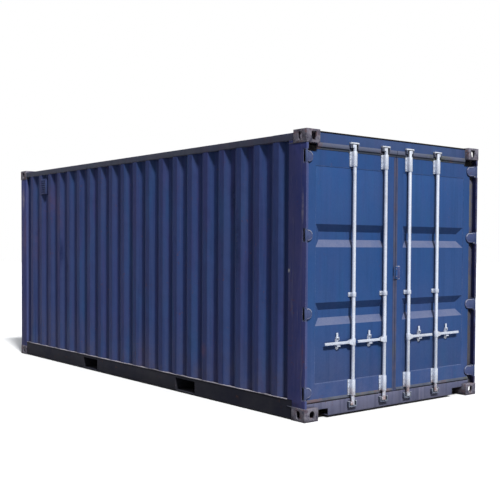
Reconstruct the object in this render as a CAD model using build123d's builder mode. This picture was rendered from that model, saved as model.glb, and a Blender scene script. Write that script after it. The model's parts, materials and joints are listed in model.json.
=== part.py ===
"""A 20 ft dry freight container with double doors at its +X end.

The frame has +X towards the doors, +Z up and its origin on the ground at the middle of the
container. Left and right are as seen by someone who faces the doors, so left is -Y. Pieces at
a corner or on a side are modelled on the left and mirrored to the right.
"""

import os
from math import atan2, cos, degrees, pi, sin

from build123d import *

# Overall size of the container
length = 6058
width = 2438
height = 2591

# Corner castings
casting_length = 178
casting_width = 162
casting_height = 118
casting_plate = 28.5
casting_end_wall = 18
casting_side_wall = 16
casting_inner_wall = 12
twistlock_slot_length = 124.5
twistlock_slot_width = 63.5
twistlock_inset_x = 102.5
twistlock_inset_y = 89.5
casting_side_hole_width = 51
casting_end_hole_width = 63.5
casting_hole_height = 79.5
casting_hole_taper = 14

# Small repeated rounds and bores are regular outlines with this many sides
small_round_sides = 16

# Depths behind the outer planes of the castings
frame_recess = 4
wall_recess = 6
header_recess = 50
leaf_recess = 58

# Door end posts
post_steel = 6
post_lip = 25
post_side_width = 239
post_channel_front = 66
post_channel_depth = 106
post_channel_steel = 10
door_post_width = 59

# Front posts
front_post_side_width = 178
front_post_end_width = 100

# Top and bottom side rails
top_rail_size = 60
top_rail_steel = 3
top_rail_radius = 6
top_rail_drop = 31
bottom_rail_bottom = 12
bottom_rail_height = 168
bottom_rail_flange = 54
bottom_rail_steel = 5

# Fork lift pockets
pocket_spacing = 2100
pocket_centre_x = 88
pocket_width = 360
pocket_plate = 4
pocket_strap_thickness = 3
pocket_side_steel = 6
pocket_strap_width = 200

# Door header and sill
header_top_drop = 6
header_height = 125
header_depth = 100
header_steel = 5
header_radius = 6
sill_bottom = 22
sill_height = 128
sill_depth = 100
sill_steel = 6
sill_notch_width = 168
sill_notch_height = 66

# Front wall rails
front_rail_depth = 60
front_rail_steel = 5
front_rail_radius = 6

# Side wall corrugations
wall_sheet = 2
side_ridge_pitch = 278
side_ridge_flat = 72
side_ridge_slope = 68
side_ridge_depth = 36

# Front wall corrugations
front_ridge_pitch = 250
front_ridge_flat = 110
front_ridge_slope = 18
front_ridge_depth = 45

# Roof panel
roof_sheet = 2
roof_ridge_pitch = 209
roof_ridge_base = 118
roof_ridge_crown = 91
roof_ridge_height = 20
roof_ridge_inset = 110
roof_corner_plate_length = 280
roof_corner_plate_width = 200
roof_corner_plate_thickness = 3

# Floor
board_thickness = 28
board_count = 5
board_gap = 3
cross_member_height = 122
cross_member_flange = 45
cross_member_steel = 4
cross_member_pitch = 300
cross_member_end_margin = 150
pocket_margin = 20

# Side wall vents
vent_width = 156
vent_height = 205
vent_plate = 4
vent_body_width = 62
vent_ridge_shift = 92.5
vent_drop = 158
vent_slot_count = 6
vent_slot_height = 12
vent_slot_width = 110

# Door leaves
leaf_half_gap = 8
leaf_post_gap = 10
leaf_sill_gap = 16
leaf_header_gap = 24
leaf_depth = 50
leaf_stile = 100
leaf_rail = 155
leaf_steel = 3
leaf_edge_radius = 3
panel_sheet = 2
panel_inset = 3
recess_depth = 36
recess_mouth_height = 208
recess_slope = 68
recess_margin = 2
recess_shares = (0.3445, 0.656)

# Door gaskets
gasket_front_inset = 6
gasket_depth = 26
gasket_clearance = 5

# Overlap plate on the right door
overlap_plate_edge = 34
overlap_plate_height = 122
overlap_plate_rise = 4
overlap_plate_thickness = 6

# Hinges
hinge_axis_inset = 14
hinge_shares = (0.038, 0.349, 0.656, 0.963)
hinge_pin_radius = 8
hinge_pin_clearance = 0.4
hinge_eye_radius = 11
hinge_blade_thickness = 10
hinge_blade_height = 100
hinge_blade_reach = 52
hinge_lug_thickness = 10
hinge_lug_gap = 2
hinge_lug_foot = 40
hinge_notch_depth = 46
hinge_notch_width = 35

# Lock rods, their cams and their keepers
rod_shares = {"outer": 0.513, "inner": 0.1436}
rod_recess = 29
rod_radius = 17
rod_low_reach = 58
rod_high_reach = 34
cam_reach = 30
cam_nose_half_width = 9
cam_height = 28
keeper_gap = 8
keeper_half_opening = 40
keeper_wall = 12
keeper_height = 52
keeper_depth = 28

# Rod guides on the doors
guide_clearance = 0.5
guide_wall = 6
guide_base_width = 86
guide_base_thickness = 8
guide_low_margin = 14
guide_low_height = 145
guide_middle_share = 0.418
guide_middle_height = 40
guide_high_margin = 4
guide_high_height = 138

# Door handles
handle_rise = 509
handle_share = 0.853
handle_bar_height = 24
handle_bar_thickness = 12
handle_pin_offset = 46
handle_pin_radius = 6
handle_pin_clearance = 0.4
hub_radius = 23
hub_height = 62
hub_ear_thickness = 6
hub_ear_reach = 62
hub_ear_tip_height = 30
hub_ear_gap = 1

# Handle retainers and their catches
retainer_share = 0.514
retainer_base_width = 40
retainer_base_thickness = 6
retainer_base_drop = 63
retainer_base_rise = 35
retainer_shelf_gap = 8
retainer_shelf_thickness = 12
retainer_shelf_reach = 34
catch_pin_radius = 4
catch_pin_clearance = 0.4
catch_pin_rise = 47
catch_pin_recess = 48
catch_ear_thickness = 5
retainer_ear_height = 32
catch_width = 22
catch_side_gap = 1
catch_thickness = 6
catch_length = 46
catch_knuckle_radius = 7

# Places that follow from the sizes above
half_length = length / 2
half_width = width / 2
casting_end_x = half_length - casting_length
casting_side_y = half_width - casting_width
casting_bottom_z = height - casting_height
top_rail_top = height - top_rail_drop
top_rail_bottom = top_rail_top - top_rail_size
bottom_rail_top = bottom_rail_bottom + bottom_rail_height
header_top = height - header_top_drop
header_bottom = header_top - header_height
sill_top = sill_bottom + sill_height
pocket_centres = [pocket_centre_x + side * pocket_spacing / 2 for side in (-1, 1)]
frame_y = half_width - frame_recess
wall_y = half_width - wall_recess
door_opening_half_width = half_width - door_post_width
header_face = half_length - header_recess
leaf_face = half_length - leaf_recess
panel_face = leaf_face - panel_inset
rod_x = half_length - rod_recess
door_wall_end = half_length - post_side_width
front_wall_end = -(half_length - front_post_side_width)
floor_bottom = bottom_rail_top - board_thickness
pocket_bottom = bottom_rail_bottom + bottom_rail_steel + pocket_strap_thickness
pocket_top = floor_bottom - pocket_plate
return_depth = wall_recess + side_ridge_depth + wall_sheet
front_face_x = -(half_length - wall_recess)
leaf_edge = door_opening_half_width - leaf_post_gap
leaf_bottom = sill_top + leaf_sill_gap
leaf_top = header_bottom - leaf_header_gap
leaf_width = leaf_edge - leaf_half_gap
leaf_height = leaf_top - leaf_bottom
hinge_heights = [leaf_bottom + share * leaf_height for share in hinge_shares]
rod_offsets = {place: leaf_half_gap + share * leaf_width for place, share in rod_shares.items()}
rod_bottom = sill_top - rod_low_reach
rod_top = header_bottom + rod_high_reach
handle_height_z = leaf_bottom + handle_rise
handle_length = handle_share * (rod_offsets["outer"] - rod_offsets["inner"])
retainer_offset = retainer_share * handle_length
catch_pin_height = handle_height_z + catch_pin_rise
catch_x = half_length - catch_pin_recess

os.makedirs("parts", exist_ok=True)


def small_round(radius):
    """A small round outline of few sides, with its corners on the radius."""
    return RegularPolygon(radius, small_round_sides)


def small_bore(radius):
    """A small bore of few sides, with its flats on the radius, so that a pin of it turns freely."""
    return RegularPolygon(radius, small_round_sides, major_radius=False, mode=Mode.SUBTRACT)


def upright_slot(centre, tall, across):
    """The outline of an upright slot with small rounds as its ends."""
    end_shift = (tall - across) / 2
    with Locations((centre[0], centre[1] - end_shift), (centre[0], centre[1] + end_shift)):
        small_round(across / 2)
    with Locations(centre):
        Rectangle(across, 2 * end_shift)


def corner_point(inward, back):
    """A point in plan, measured from the left door corner: inward from the side, back from the end."""
    return (half_length - back, -half_width + inward)


def front_point(inward, back):
    """A point in plan, measured the same way from the left front corner."""
    return (-half_length + back, -half_width + inward)


def corrugation(centres, flat, slope, start, end, outer, inner, sheet):
    """The closed outline of a folded sheet: positions along it, then levels across it."""
    outside = [(start, inner)]
    for centre in centres:
        outside += [
            (centre + flat / 2 + slope, inner),
            (centre + flat / 2, outer),
            (centre - flat / 2, outer),
            (centre - flat / 2 - slope, inner),
        ]
    outside += [(end, inner)]
    step = sheet if inner > outer else -sheet
    inside = [(along, across + step) for along, across in reversed(outside)]
    return outside + inside


def mirrored(piece):
    """The same piece on the other side of the container."""
    with BuildPart() as twin:
        mirror(piece.part, about=Plane.XZ)
    return twin


# Corner castings
def corner_casting(bottom):
    """The left door corner casting, hollow, with its slot and two wall holes."""
    centre_x = half_length - casting_length / 2
    centre_y = -half_width + casting_width / 2
    slot_x = half_length - twistlock_inset_x
    slot_y = -half_width + twistlock_inset_y
    hole_z = bottom + casting_height / 2
    cavity_length = casting_length - casting_end_wall - casting_inner_wall
    cavity_width = casting_width - casting_side_wall - casting_inner_wall
    with BuildPart() as casting:
        with BuildSketch(Plane.XY.offset(bottom)):
            with Locations((centre_x, centre_y)):
                Rectangle(casting_length, casting_width)
        extrude(amount=casting_height)
        with BuildSketch(Plane.XY.offset(bottom + casting_plate)):
            with Locations(
                (
                    half_length - casting_end_wall - cavity_length / 2,
                    -half_width + casting_side_wall + cavity_width / 2,
                )
            ):
                Rectangle(cavity_length, cavity_width)
        extrude(amount=casting_height - 2 * casting_plate, mode=Mode.SUBTRACT)
        slot_level = 0 if bottom == 0 else height - casting_plate
        with BuildSketch(Plane.XY.offset(slot_level)):
            with Locations((slot_x, slot_y)):
                SlotOverall(twistlock_slot_length, twistlock_slot_width)
        extrude(amount=casting_plate, mode=Mode.SUBTRACT)
        with BuildSketch(Plane.XZ.offset(half_width - casting_side_wall)):
            upright_slot((centre_x, hole_z), casting_hole_height, casting_side_hole_width)
        extrude(amount=casting_side_wall, mode=Mode.SUBTRACT)
        with BuildSketch(Plane.YZ.offset(half_length - casting_end_wall)):
            if bottom == 0:
                upright_slot((slot_y, hole_z), casting_hole_height, casting_end_hole_width)
            else:
                top_half = casting_end_hole_width / 2
                low_half = top_half - casting_hole_taper
                top_z = hole_z + casting_hole_height / 2
                low_z = hole_z - casting_hole_height / 2
                with BuildLine():
                    Polyline(
                        (slot_y - low_half, low_z),
                        (slot_y + low_half, low_z),
                        (slot_y + top_half, hole_z),
                        (slot_y + top_half, top_z),
                        (slot_y - top_half, top_z),
                        (slot_y - top_half, hole_z),
                        close=True,
                    )
                make_face()
        extrude(amount=casting_end_wall, mode=Mode.SUBTRACT)
    return casting


# The top castings at the two ends, and the four bottom castings
with BuildPart() as top_door_castings:
    add(corner_casting(casting_bottom_z).part)
    mirror(about=Plane.XZ)
with BuildPart() as top_front_castings:
    add(top_door_castings.part.mirror(Plane.YZ))
with BuildPart() as bottom_corner_castings:
    add(corner_casting(0).part)
    mirror(about=Plane.XZ)
    mirror(about=Plane.YZ)

# Door end posts: a pressed outer section with a front lip, and the channel behind it
with BuildPart() as left_door_post:
    web_inner = frame_recess + post_steel
    channel_back = post_channel_front + post_channel_depth
    channel_inner = half_width - door_opening_half_width
    with BuildSketch(Plane.XY.offset(casting_height)):
        with BuildLine():
            Polyline(
                corner_point(frame_recess, frame_recess),
                corner_point(frame_recess + post_lip, frame_recess),
                corner_point(frame_recess + post_lip, frame_recess + post_steel),
                corner_point(web_inner, frame_recess + post_steel),
                corner_point(web_inner, post_channel_front),
                corner_point(channel_inner, post_channel_front),
                corner_point(channel_inner, channel_back),
                corner_point(web_inner, channel_back),
                corner_point(web_inner, casting_length),
                corner_point(frame_recess, casting_length),
                close=True,
            )
        make_face()
        with BuildLine():
            Polyline(
                corner_point(web_inner, post_channel_front + post_channel_steel),
                corner_point(channel_inner - post_channel_steel, post_channel_front + post_channel_steel),
                corner_point(channel_inner - post_channel_steel, channel_back - post_channel_steel),
                corner_point(web_inner, channel_back - post_channel_steel),
                close=True,
            )
        make_face(mode=Mode.SUBTRACT)
    extrude(amount=casting_bottom_z - casting_height)
    with BuildSketch(Plane.XY.offset(bottom_rail_top)):
        with BuildLine():
            Polyline(
                corner_point(frame_recess, casting_length),
                corner_point(web_inner, casting_length),
                corner_point(web_inner, post_side_width - post_steel),
                corner_point(return_depth, post_side_width - post_steel),
                corner_point(return_depth, post_side_width),
                corner_point(frame_recess, post_side_width),
                close=True,
            )
        make_face()
    extrude(amount=top_rail_bottom - bottom_rail_top)
    notch_height = hinge_blade_height + 2 * (hinge_lug_gap + hinge_lug_thickness)
    for hinge_z in hinge_heights:
        with BuildSketch(Plane.XY.offset(hinge_z - notch_height / 2)):
            with Locations(corner_point(hinge_notch_width / 2, hinge_notch_depth / 2)):
                Rectangle(hinge_notch_depth, hinge_notch_width)
        extrude(amount=notch_height, mode=Mode.SUBTRACT)
right_door_post = mirrored(left_door_post)

# Front posts: an open pressed section round each front corner
with BuildPart() as front_posts:
    outer = frame_recess
    inner = frame_recess + post_steel
    end_return = wall_recess + front_ridge_depth + wall_sheet
    side_edge = front_post_side_width
    end_edge = front_post_end_width
    with BuildSketch(Plane.XY.offset(casting_height)):
        with BuildLine():
            Polyline(
                front_point(outer, outer),
                front_point(outer, side_edge),
                front_point(return_depth, side_edge),
                front_point(return_depth, side_edge - post_steel),
                front_point(inner, side_edge - post_steel),
                front_point(inner, inner),
                front_point(end_edge - post_steel, inner),
                front_point(end_edge - post_steel, end_return),
                front_point(end_edge, end_return),
                front_point(end_edge, outer),
                close=True,
            )
        make_face()
    extrude(amount=casting_bottom_z - casting_height)
    mirror(about=Plane.XZ)

# Top side rails: square tubes between the castings
with BuildPart() as top_side_rails:
    rail_centre_y = frame_y - top_rail_size / 2
    rail_centre_z = top_rail_top - top_rail_size / 2
    with BuildSketch(Plane.YZ.offset(-casting_end_x)):
        with Locations((-rail_centre_y, rail_centre_z), (rail_centre_y, rail_centre_z)):
            RectangleRounded(top_rail_size, top_rail_size, top_rail_radius)
            tube_hole = top_rail_size - 2 * top_rail_steel
            Rectangle(tube_hole, tube_hole, mode=Mode.SUBTRACT)
    extrude(amount=2 * casting_end_x)

# Bottom side rails: channels open to the inside, in three lengths parted by the fork pockets
with BuildPart() as bottom_side_rails:
    rail_inner = wall_y - bottom_rail_flange
    rail_ends = [-casting_end_x, casting_end_x]
    for centre in pocket_centres:
        rail_ends += [centre - pocket_width / 2, centre + pocket_width / 2]
    rail_ends.sort()
    for rail_start, rail_end in zip(rail_ends[::2], rail_ends[1::2]):
        with BuildSketch(Plane.YZ.offset(rail_start)):
            with BuildLine():
                Polyline(
                    (-wall_y, bottom_rail_bottom),
                    (-rail_inner, bottom_rail_bottom),
                    (-rail_inner, bottom_rail_bottom + bottom_rail_steel),
                    (-wall_y + bottom_rail_steel, bottom_rail_bottom + bottom_rail_steel),
                    (-wall_y + bottom_rail_steel, bottom_rail_top - bottom_rail_steel),
                    (-rail_inner, bottom_rail_top - bottom_rail_steel),
                    (-rail_inner, bottom_rail_top),
                    (-wall_y, bottom_rail_top),
                    close=True,
                )
            make_face()
        extrude(amount=rail_end - rail_start)
    mirror(about=Plane.XZ)

# Fork pocket tops: a plate across the container, with the rail's web and flange over each mouth
with BuildPart() as fork_pocket_tops:
    lintel_y = wall_y - bottom_rail_flange / 2
    for centre in pocket_centres:
        with BuildSketch(Plane.XY.offset(pocket_top)):
            with Locations((centre, 0)):
                Rectangle(pocket_width + 2 * pocket_side_steel, 2 * rail_inner)
                Rectangle(pocket_width, 2 * wall_y)
        extrude(amount=pocket_plate)
        with BuildSketch(Plane.XY.offset(pocket_top + pocket_plate)):
            with Locations((centre, 0)):
                with GridLocations(0, 2 * wall_y - bottom_rail_steel, 1, 2):
                    Rectangle(pocket_width, bottom_rail_steel)
        extrude(amount=bottom_rail_top - pocket_top - pocket_plate)
        with BuildSketch(Plane.XY.offset(bottom_rail_top - bottom_rail_steel)):
            with Locations((centre, 0)):
                with GridLocations(0, 2 * lintel_y, 1, 2):
                    Rectangle(pocket_width, bottom_rail_flange)
        extrude(amount=bottom_rail_steel)

# Fork pocket sides: plates that reach into the rails and close them beside each mouth
with BuildPart() as fork_pocket_sides:
    side_span = 2 * (wall_y - bottom_rail_steel)
    with BuildSketch(Plane.XY.offset(bottom_rail_bottom + bottom_rail_steel)):
        for centre in pocket_centres:
            with Locations((centre, 0)):
                with GridLocations(pocket_width + pocket_side_steel, 0, 2, 1):
                    Rectangle(pocket_side_steel, side_span)
    extrude(amount=pocket_top - bottom_rail_bottom - bottom_rail_steel)

# Fork pocket straps: the rail's lower flange under each mouth, and the strap on it
with BuildPart() as fork_pocket_straps:
    for centre in pocket_centres:
        with BuildSketch(Plane.XY.offset(bottom_rail_bottom)):
            with Locations((centre, 0)):
                with GridLocations(0, 2 * lintel_y, 1, 2):
                    Rectangle(pocket_width, bottom_rail_flange)
        extrude(amount=bottom_rail_steel)
        with BuildSketch(Plane.XY.offset(bottom_rail_bottom + bottom_rail_steel)):
            with Locations((centre, 0)):
                with GridLocations(0, 2 * wall_y - pocket_strap_width, 1, 2):
                    Rectangle(pocket_width, pocket_strap_width)
        extrude(amount=pocket_strap_thickness)


def cross_rail(middle_x, low, high, depth, steel, radius):
    """A box section rail between the left and the right castings."""
    rail_height = high - low
    with BuildPart() as rail:
        with BuildSketch(Plane.XZ.offset(-casting_side_y)):
            with Locations((middle_x, (low + high) / 2)):
                RectangleRounded(depth, rail_height, radius)
                Rectangle(depth - 2 * steel, rail_height - 2 * steel, mode=Mode.SUBTRACT)
        extrude(amount=2 * casting_side_y)
    return rail


# Door header, and the rails above and below the front wall
door_header = cross_rail(
    header_face - header_depth / 2,
    header_bottom,
    header_top,
    header_depth,
    header_steel,
    header_radius,
)
front_rail_x = front_face_x + front_rail_depth / 2
front_top_rail = cross_rail(
    front_rail_x,
    casting_bottom_z,
    top_rail_top,
    front_rail_depth,
    front_rail_steel,
    front_rail_radius,
)
front_bottom_rail = cross_rail(
    front_rail_x,
    bottom_rail_bottom,
    casting_height,
    front_rail_depth,
    front_rail_steel,
    front_rail_radius,
)

# Door sill: a channel open to the inside, with a hand hole beside each casting
with BuildPart() as door_sill:
    sill_back = header_face - sill_depth
    with BuildSketch(Plane.XZ.offset(-casting_side_y)):
        with BuildLine():
            Polyline(
                (header_face, sill_bottom),
                (header_face, sill_top),
                (sill_back, sill_top),
                (sill_back, sill_top - sill_steel),
                (header_face - sill_steel, sill_top - sill_steel),
                (header_face - sill_steel, sill_bottom + sill_steel),
                (sill_back, sill_bottom + sill_steel),
                (sill_back, sill_bottom),
                close=True,
            )
        make_face()
    extrude(amount=2 * casting_side_y)
    with BuildSketch(Plane.XZ.offset(-door_opening_half_width)):
        with BuildLine():
            Polyline(
                (header_face, casting_height),
                (header_face, sill_top),
                (sill_back, sill_top),
                (sill_back, sill_top - sill_steel),
                (header_face - sill_steel, sill_top - sill_steel),
                (header_face - sill_steel, casting_height),
                close=True,
            )
        make_face()
    extrude(amount=2 * door_opening_half_width)
    notch_y = casting_side_y - sill_notch_width / 2
    with BuildSketch(Plane.XY.offset(sill_bottom)):
        with Locations((header_face - sill_depth / 2, -notch_y), (header_face - sill_depth / 2, notch_y)):
            Rectangle(sill_depth, sill_notch_width)
    extrude(amount=sill_notch_height, mode=Mode.SUBTRACT)

# Side walls: one corrugated sheet between the posts and the rails on each side
with BuildPart() as left_side_wall:
    side_ridge_count = int((door_wall_end - front_wall_end) // side_ridge_pitch)
    side_pattern_centre = (door_wall_end + front_wall_end) / 2
    first_ridge = side_pattern_centre + side_ridge_pitch * (side_ridge_count - 1) / 2
    side_ridges = [first_ridge - side_ridge_pitch * index for index in range(side_ridge_count)]
    with BuildSketch(Plane.XY.offset(bottom_rail_top)):
        with BuildLine():
            Polyline(
                corrugation(
                    side_ridges,
                    side_ridge_flat,
                    side_ridge_slope,
                    door_wall_end,
                    front_wall_end,
                    -wall_y,
                    -wall_y + side_ridge_depth,
                    wall_sheet,
                ),
                close=True,
            )
        make_face()
    extrude(amount=top_rail_bottom - bottom_rail_top)
right_side_wall = mirrored(left_side_wall)

# Front wall: a deeper corrugated sheet between the front posts
with BuildPart() as front_wall:
    front_half_run = half_width - front_post_end_width
    front_ridge_count = int(2 * front_half_run // front_ridge_pitch)
    first_ridge = front_ridge_pitch * (front_ridge_count - 1) / 2
    front_ridges = [first_ridge - front_ridge_pitch * index for index in range(front_ridge_count)]
    front_outline = corrugation(
        front_ridges,
        front_ridge_flat,
        front_ridge_slope,
        front_half_run,
        -front_half_run,
        front_face_x,
        front_face_x + front_ridge_depth,
        wall_sheet,
    )
    with BuildSketch(Plane.XY.offset(casting_height)):
        with BuildLine():
            Polyline([(across, along) for along, across in front_outline], close=True)
        make_face()
    extrude(amount=casting_bottom_z - casting_height)

# Roof end plates: flat strips between the castings, on the front rail and up to the header
with BuildPart() as roof_end_plates:
    with BuildSketch(Plane.XY.offset(top_rail_top)):
        for plate_start, plate_end in (
            (front_face_x, -casting_end_x),
            (casting_end_x, header_face - header_depth),
        ):
            with Locations(((plate_start + plate_end) / 2, 0)):
                Rectangle(plate_end - plate_start, 2 * casting_side_y)
    extrude(amount=roof_sheet)

# Roof panel: a sheet on the rails with ridges pressed up across it
with BuildPart() as roof_panel:
    with BuildSketch(Plane.XY.offset(top_rail_top)):
        Rectangle(2 * casting_end_x, 2 * frame_y)
    extrude(amount=roof_sheet)
    ridge_run = 2 * (half_width - roof_ridge_inset)
    ridge_slope = (roof_ridge_base - roof_ridge_crown) / 2
    ridge_taper = degrees(atan2(ridge_slope, roof_ridge_height))
    ridged_length = 2 * (casting_end_x - roof_corner_plate_length)
    ridge_places = GridLocations(roof_ridge_pitch, 0, int(ridged_length // roof_ridge_pitch), 1)
    for ridge in ridge_places:
        with BuildSketch(Plane.XY.offset(top_rail_top + roof_sheet)):
            with Locations(ridge):
                Rectangle(roof_ridge_base, ridge_run)
        extrude(amount=roof_ridge_height, taper=ridge_taper)
    for ridge in ridge_places:
        with BuildSketch(Plane.XY.offset(top_rail_top)):
            with Locations(ridge):
                Rectangle(roof_ridge_base, ridge_run)
        extrude(amount=roof_ridge_height, taper=ridge_taper, mode=Mode.SUBTRACT)

# Roof corner plates: flat plates that guard the roof beside the top castings
with BuildPart() as roof_corner_plates:
    plate_x = casting_end_x - roof_corner_plate_length / 2
    plate_y = frame_y - roof_corner_plate_width / 2
    with BuildSketch(Plane.XY.offset(top_rail_top + roof_sheet)):
        with GridLocations(2 * plate_x, 2 * plate_y, 2, 2):
            Rectangle(roof_corner_plate_length, roof_corner_plate_width)
    extrude(amount=roof_corner_plate_thickness)

# Floor: plywood sheets between the rails
with BuildPart() as floor_boards:
    floor_back = header_face - sill_depth
    floor_front = front_face_x + front_ridge_depth + wall_sheet
    board_length = (floor_back - floor_front - board_gap * (board_count - 1)) / board_count
    floor_half_width = wall_y - bottom_rail_flange
    with BuildSketch(Plane.XY.offset(floor_bottom)):
        with Locations(((floor_back + floor_front) / 2, 0)):
            with GridLocations(board_length + board_gap, 0, board_count, 1):
                Rectangle(board_length, 2 * floor_half_width)
    extrude(amount=board_thickness)

# Cross members: channels under the floor, left out where the fork pockets pass
with BuildPart() as cross_members:
    clear_of_pocket = pocket_width / 2 + pocket_side_steel + pocket_margin + cross_member_flange
    member_count = int(2 * (casting_end_x - cross_member_end_margin) // cross_member_pitch)
    member_row = [cross_member_pitch * (index - (member_count - 1) / 2) for index in range(member_count)]
    member_places = [x for x in member_row if all(abs(x - pocket) > clear_of_pocket for pocket in pocket_centres)]
    member_z = floor_bottom - cross_member_height / 2
    web_height = cross_member_height - 2 * cross_member_steel
    opening_shift = cross_member_steel / 2
    with BuildSketch(Plane.XZ.offset(-floor_half_width)):
        with Locations([(x, member_z) for x in member_places]):
            Rectangle(cross_member_flange, cross_member_height)
        with Locations([(x + opening_shift, member_z) for x in member_places]):
            Rectangle(cross_member_flange - cross_member_steel, web_height, mode=Mode.SUBTRACT)
    extrude(amount=2 * floor_half_width)

# Vents: a louvred cover high on each side wall, at opposite ends
with BuildPart() as left_vent:
    vent_x = side_ridges[-2] + vent_ridge_shift
    vent_z = top_rail_bottom - vent_drop
    with BuildSketch(Plane.XZ.offset(wall_y)):
        with Locations((vent_x, vent_z)):
            Rectangle(vent_width, vent_height)
            with GridLocations(0, vent_height / (vent_slot_count + 1), 1, vent_slot_count):
                Rectangle(vent_slot_width, vent_slot_height, mode=Mode.SUBTRACT)
    extrude(amount=vent_plate)
    valley_edge = vent_x + vent_width / 2
    with BuildSketch(Plane.XZ.offset(wall_y - side_ridge_depth)):
        with Locations((valley_edge - vent_body_width / 2, vent_z)):
            Rectangle(vent_body_width, vent_height)
            Rectangle(vent_body_width - 2 * vent_plate, vent_height - 2 * vent_plate, mode=Mode.SUBTRACT)
    extrude(amount=side_ridge_depth)
right_vent = left_vent.part.mirror(Plane.XZ).mirror(Plane.YZ.offset(side_pattern_centre))
with BuildPart() as vents:
    add(left_vent.part)
    add(right_vent)

# Door leaves: frame, pressed panel and gasket of the left leaf, mirrored for the right
leaf_centre = (-(leaf_edge + leaf_half_gap) / 2, (leaf_top + leaf_bottom) / 2)
panel_width = leaf_width - 2 * leaf_stile
panel_height = leaf_height - 2 * leaf_rail
with BuildPart() as left_door_frame:
    with BuildSketch(Plane.YZ.offset(leaf_face - leaf_depth)):
        with Locations(leaf_centre):
            Rectangle(leaf_width, leaf_height)
            Rectangle(panel_width, panel_height, mode=Mode.SUBTRACT)
    extrude(amount=leaf_depth)
    front_edges = left_door_frame.faces().sort_by(Axis.X)[-1].edges()
    fillet(front_edges, radius=leaf_edge_radius)
    with BuildSketch(Plane.XY.offset(leaf_bottom)):
        with Locations((leaf_face - leaf_depth / 2, leaf_centre[0])):
            with GridLocations(0, leaf_width - leaf_stile, 1, 2):
                Rectangle(leaf_depth - 2 * leaf_steel, leaf_stile - 2 * leaf_steel)
    extrude(amount=leaf_height, mode=Mode.SUBTRACT)
    with BuildSketch(Plane.YZ.offset(leaf_face - leaf_depth)):
        with Locations(leaf_centre):
            with GridLocations(0, leaf_height - leaf_rail, 1, 2):
                Rectangle(panel_width, leaf_rail - 2 * leaf_steel)
    extrude(amount=leaf_depth - leaf_steel, mode=Mode.SUBTRACT)
with BuildPart() as left_door_panel:
    with BuildSketch(Plane.YZ.offset(panel_face - panel_sheet)):
        with Locations(leaf_centre):
            Rectangle(panel_width, panel_height)
    extrude(amount=panel_sheet)
    mouth_width = panel_width - 2 * recess_margin
    for mouth_x, mode in ((panel_face - panel_sheet, Mode.ADD), (panel_face, Mode.SUBTRACT)):
        for recess_share in recess_shares:
            recess_z = leaf_bottom + recess_share * leaf_height
            with Locations((mouth_x - recess_depth / 2, leaf_centre[0], recess_z)):
                Wedge(
                    mouth_width,
                    recess_depth,
                    recess_mouth_height,
                    recess_slope,
                    recess_slope,
                    mouth_width - recess_slope,
                    recess_mouth_height - recess_slope,
                    rotation=(0, 0, 90),
                    mode=mode,
                )
with BuildPart() as left_door_gasket:
    gasket_outer = door_opening_half_width - gasket_clearance
    gasket_inner = gasket_clearance / 2
    gasket_top = header_bottom - gasket_clearance
    gasket_bottom = sill_top + gasket_clearance
    with BuildSketch(Plane.YZ.offset(leaf_face - gasket_front_inset - gasket_depth)):
        with Locations((-(gasket_outer + gasket_inner) / 2, (gasket_top + gasket_bottom) / 2)):
            Rectangle(gasket_outer - gasket_inner, gasket_top - gasket_bottom)
        with Locations(leaf_centre):
            Rectangle(leaf_width, leaf_height, mode=Mode.SUBTRACT)
    extrude(amount=gasket_depth)
right_door_frame = mirrored(left_door_frame)
right_door_panel = mirrored(left_door_panel)
right_door_gasket = mirrored(left_door_gasket)

# Overlap plate: bolted to the right door beside the seam
with BuildPart() as overlap_plate:
    plate_near = gasket_inner + gasket_clearance / 4
    with BuildSketch(Plane.YZ.offset(leaf_face)):
        with Locations(((plate_near + overlap_plate_edge) / 2, leaf_centre[1] + overlap_plate_rise)):
            Rectangle(overlap_plate_edge - plate_near, overlap_plate_height)
    extrude(amount=overlap_plate_thickness)

# Hinges: lugs and pins on the posts, cranked blades on the doors
blade_root = half_width - leaf_edge + gasket_clearance
blade_middle = leaf_recess - hinge_blade_thickness / 2
crank_run = blade_root - hinge_axis_inset
crank_rise = blade_middle - hinge_axis_inset
crank_length = (crank_run**2 + crank_rise**2) ** 0.5
crank_side = hinge_blade_thickness / 2 * crank_rise / crank_length
crank_back = hinge_blade_thickness / 2 * crank_run / crank_length
blade_turns = [2 * pi * (step / small_round_sides - 1 / 4) for step in range(small_round_sides // 2 + 1)]
with BuildPart() as left_hinge_blades:
    for hinge_z in hinge_heights:
        low_z = hinge_z - hinge_blade_height / 2
        with BuildSketch(Plane.XY.offset(low_z)):
            with BuildLine():
                Polyline(
                    corner_point(hinge_axis_inset + crank_side, hinge_axis_inset - crank_back),
                    corner_point(hinge_axis_inset - crank_side, hinge_axis_inset + crank_back),
                    corner_point(blade_root, leaf_recess),
                    corner_point(blade_root, leaf_recess - hinge_blade_thickness),
                    close=True,
                )
            make_face()
            with Locations(corner_point(hinge_axis_inset, hinge_axis_inset)):
                small_round(hinge_eye_radius)
                small_bore(hinge_pin_radius + hinge_pin_clearance)
        extrude(amount=hinge_blade_height)
        with BuildSketch(Plane.YZ.offset(leaf_face)):
            with BuildLine():
                Polyline(
                    [
                        (
                            -half_width + blade_root + hinge_blade_reach * cos(turn),
                            hinge_z + hinge_blade_height / 2 * sin(turn),
                        )
                        for turn in blade_turns
                    ],
                    close=True,
                )
            make_face()
        extrude(amount=hinge_blade_thickness)
right_hinge_blades = mirrored(left_hinge_blades)

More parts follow.
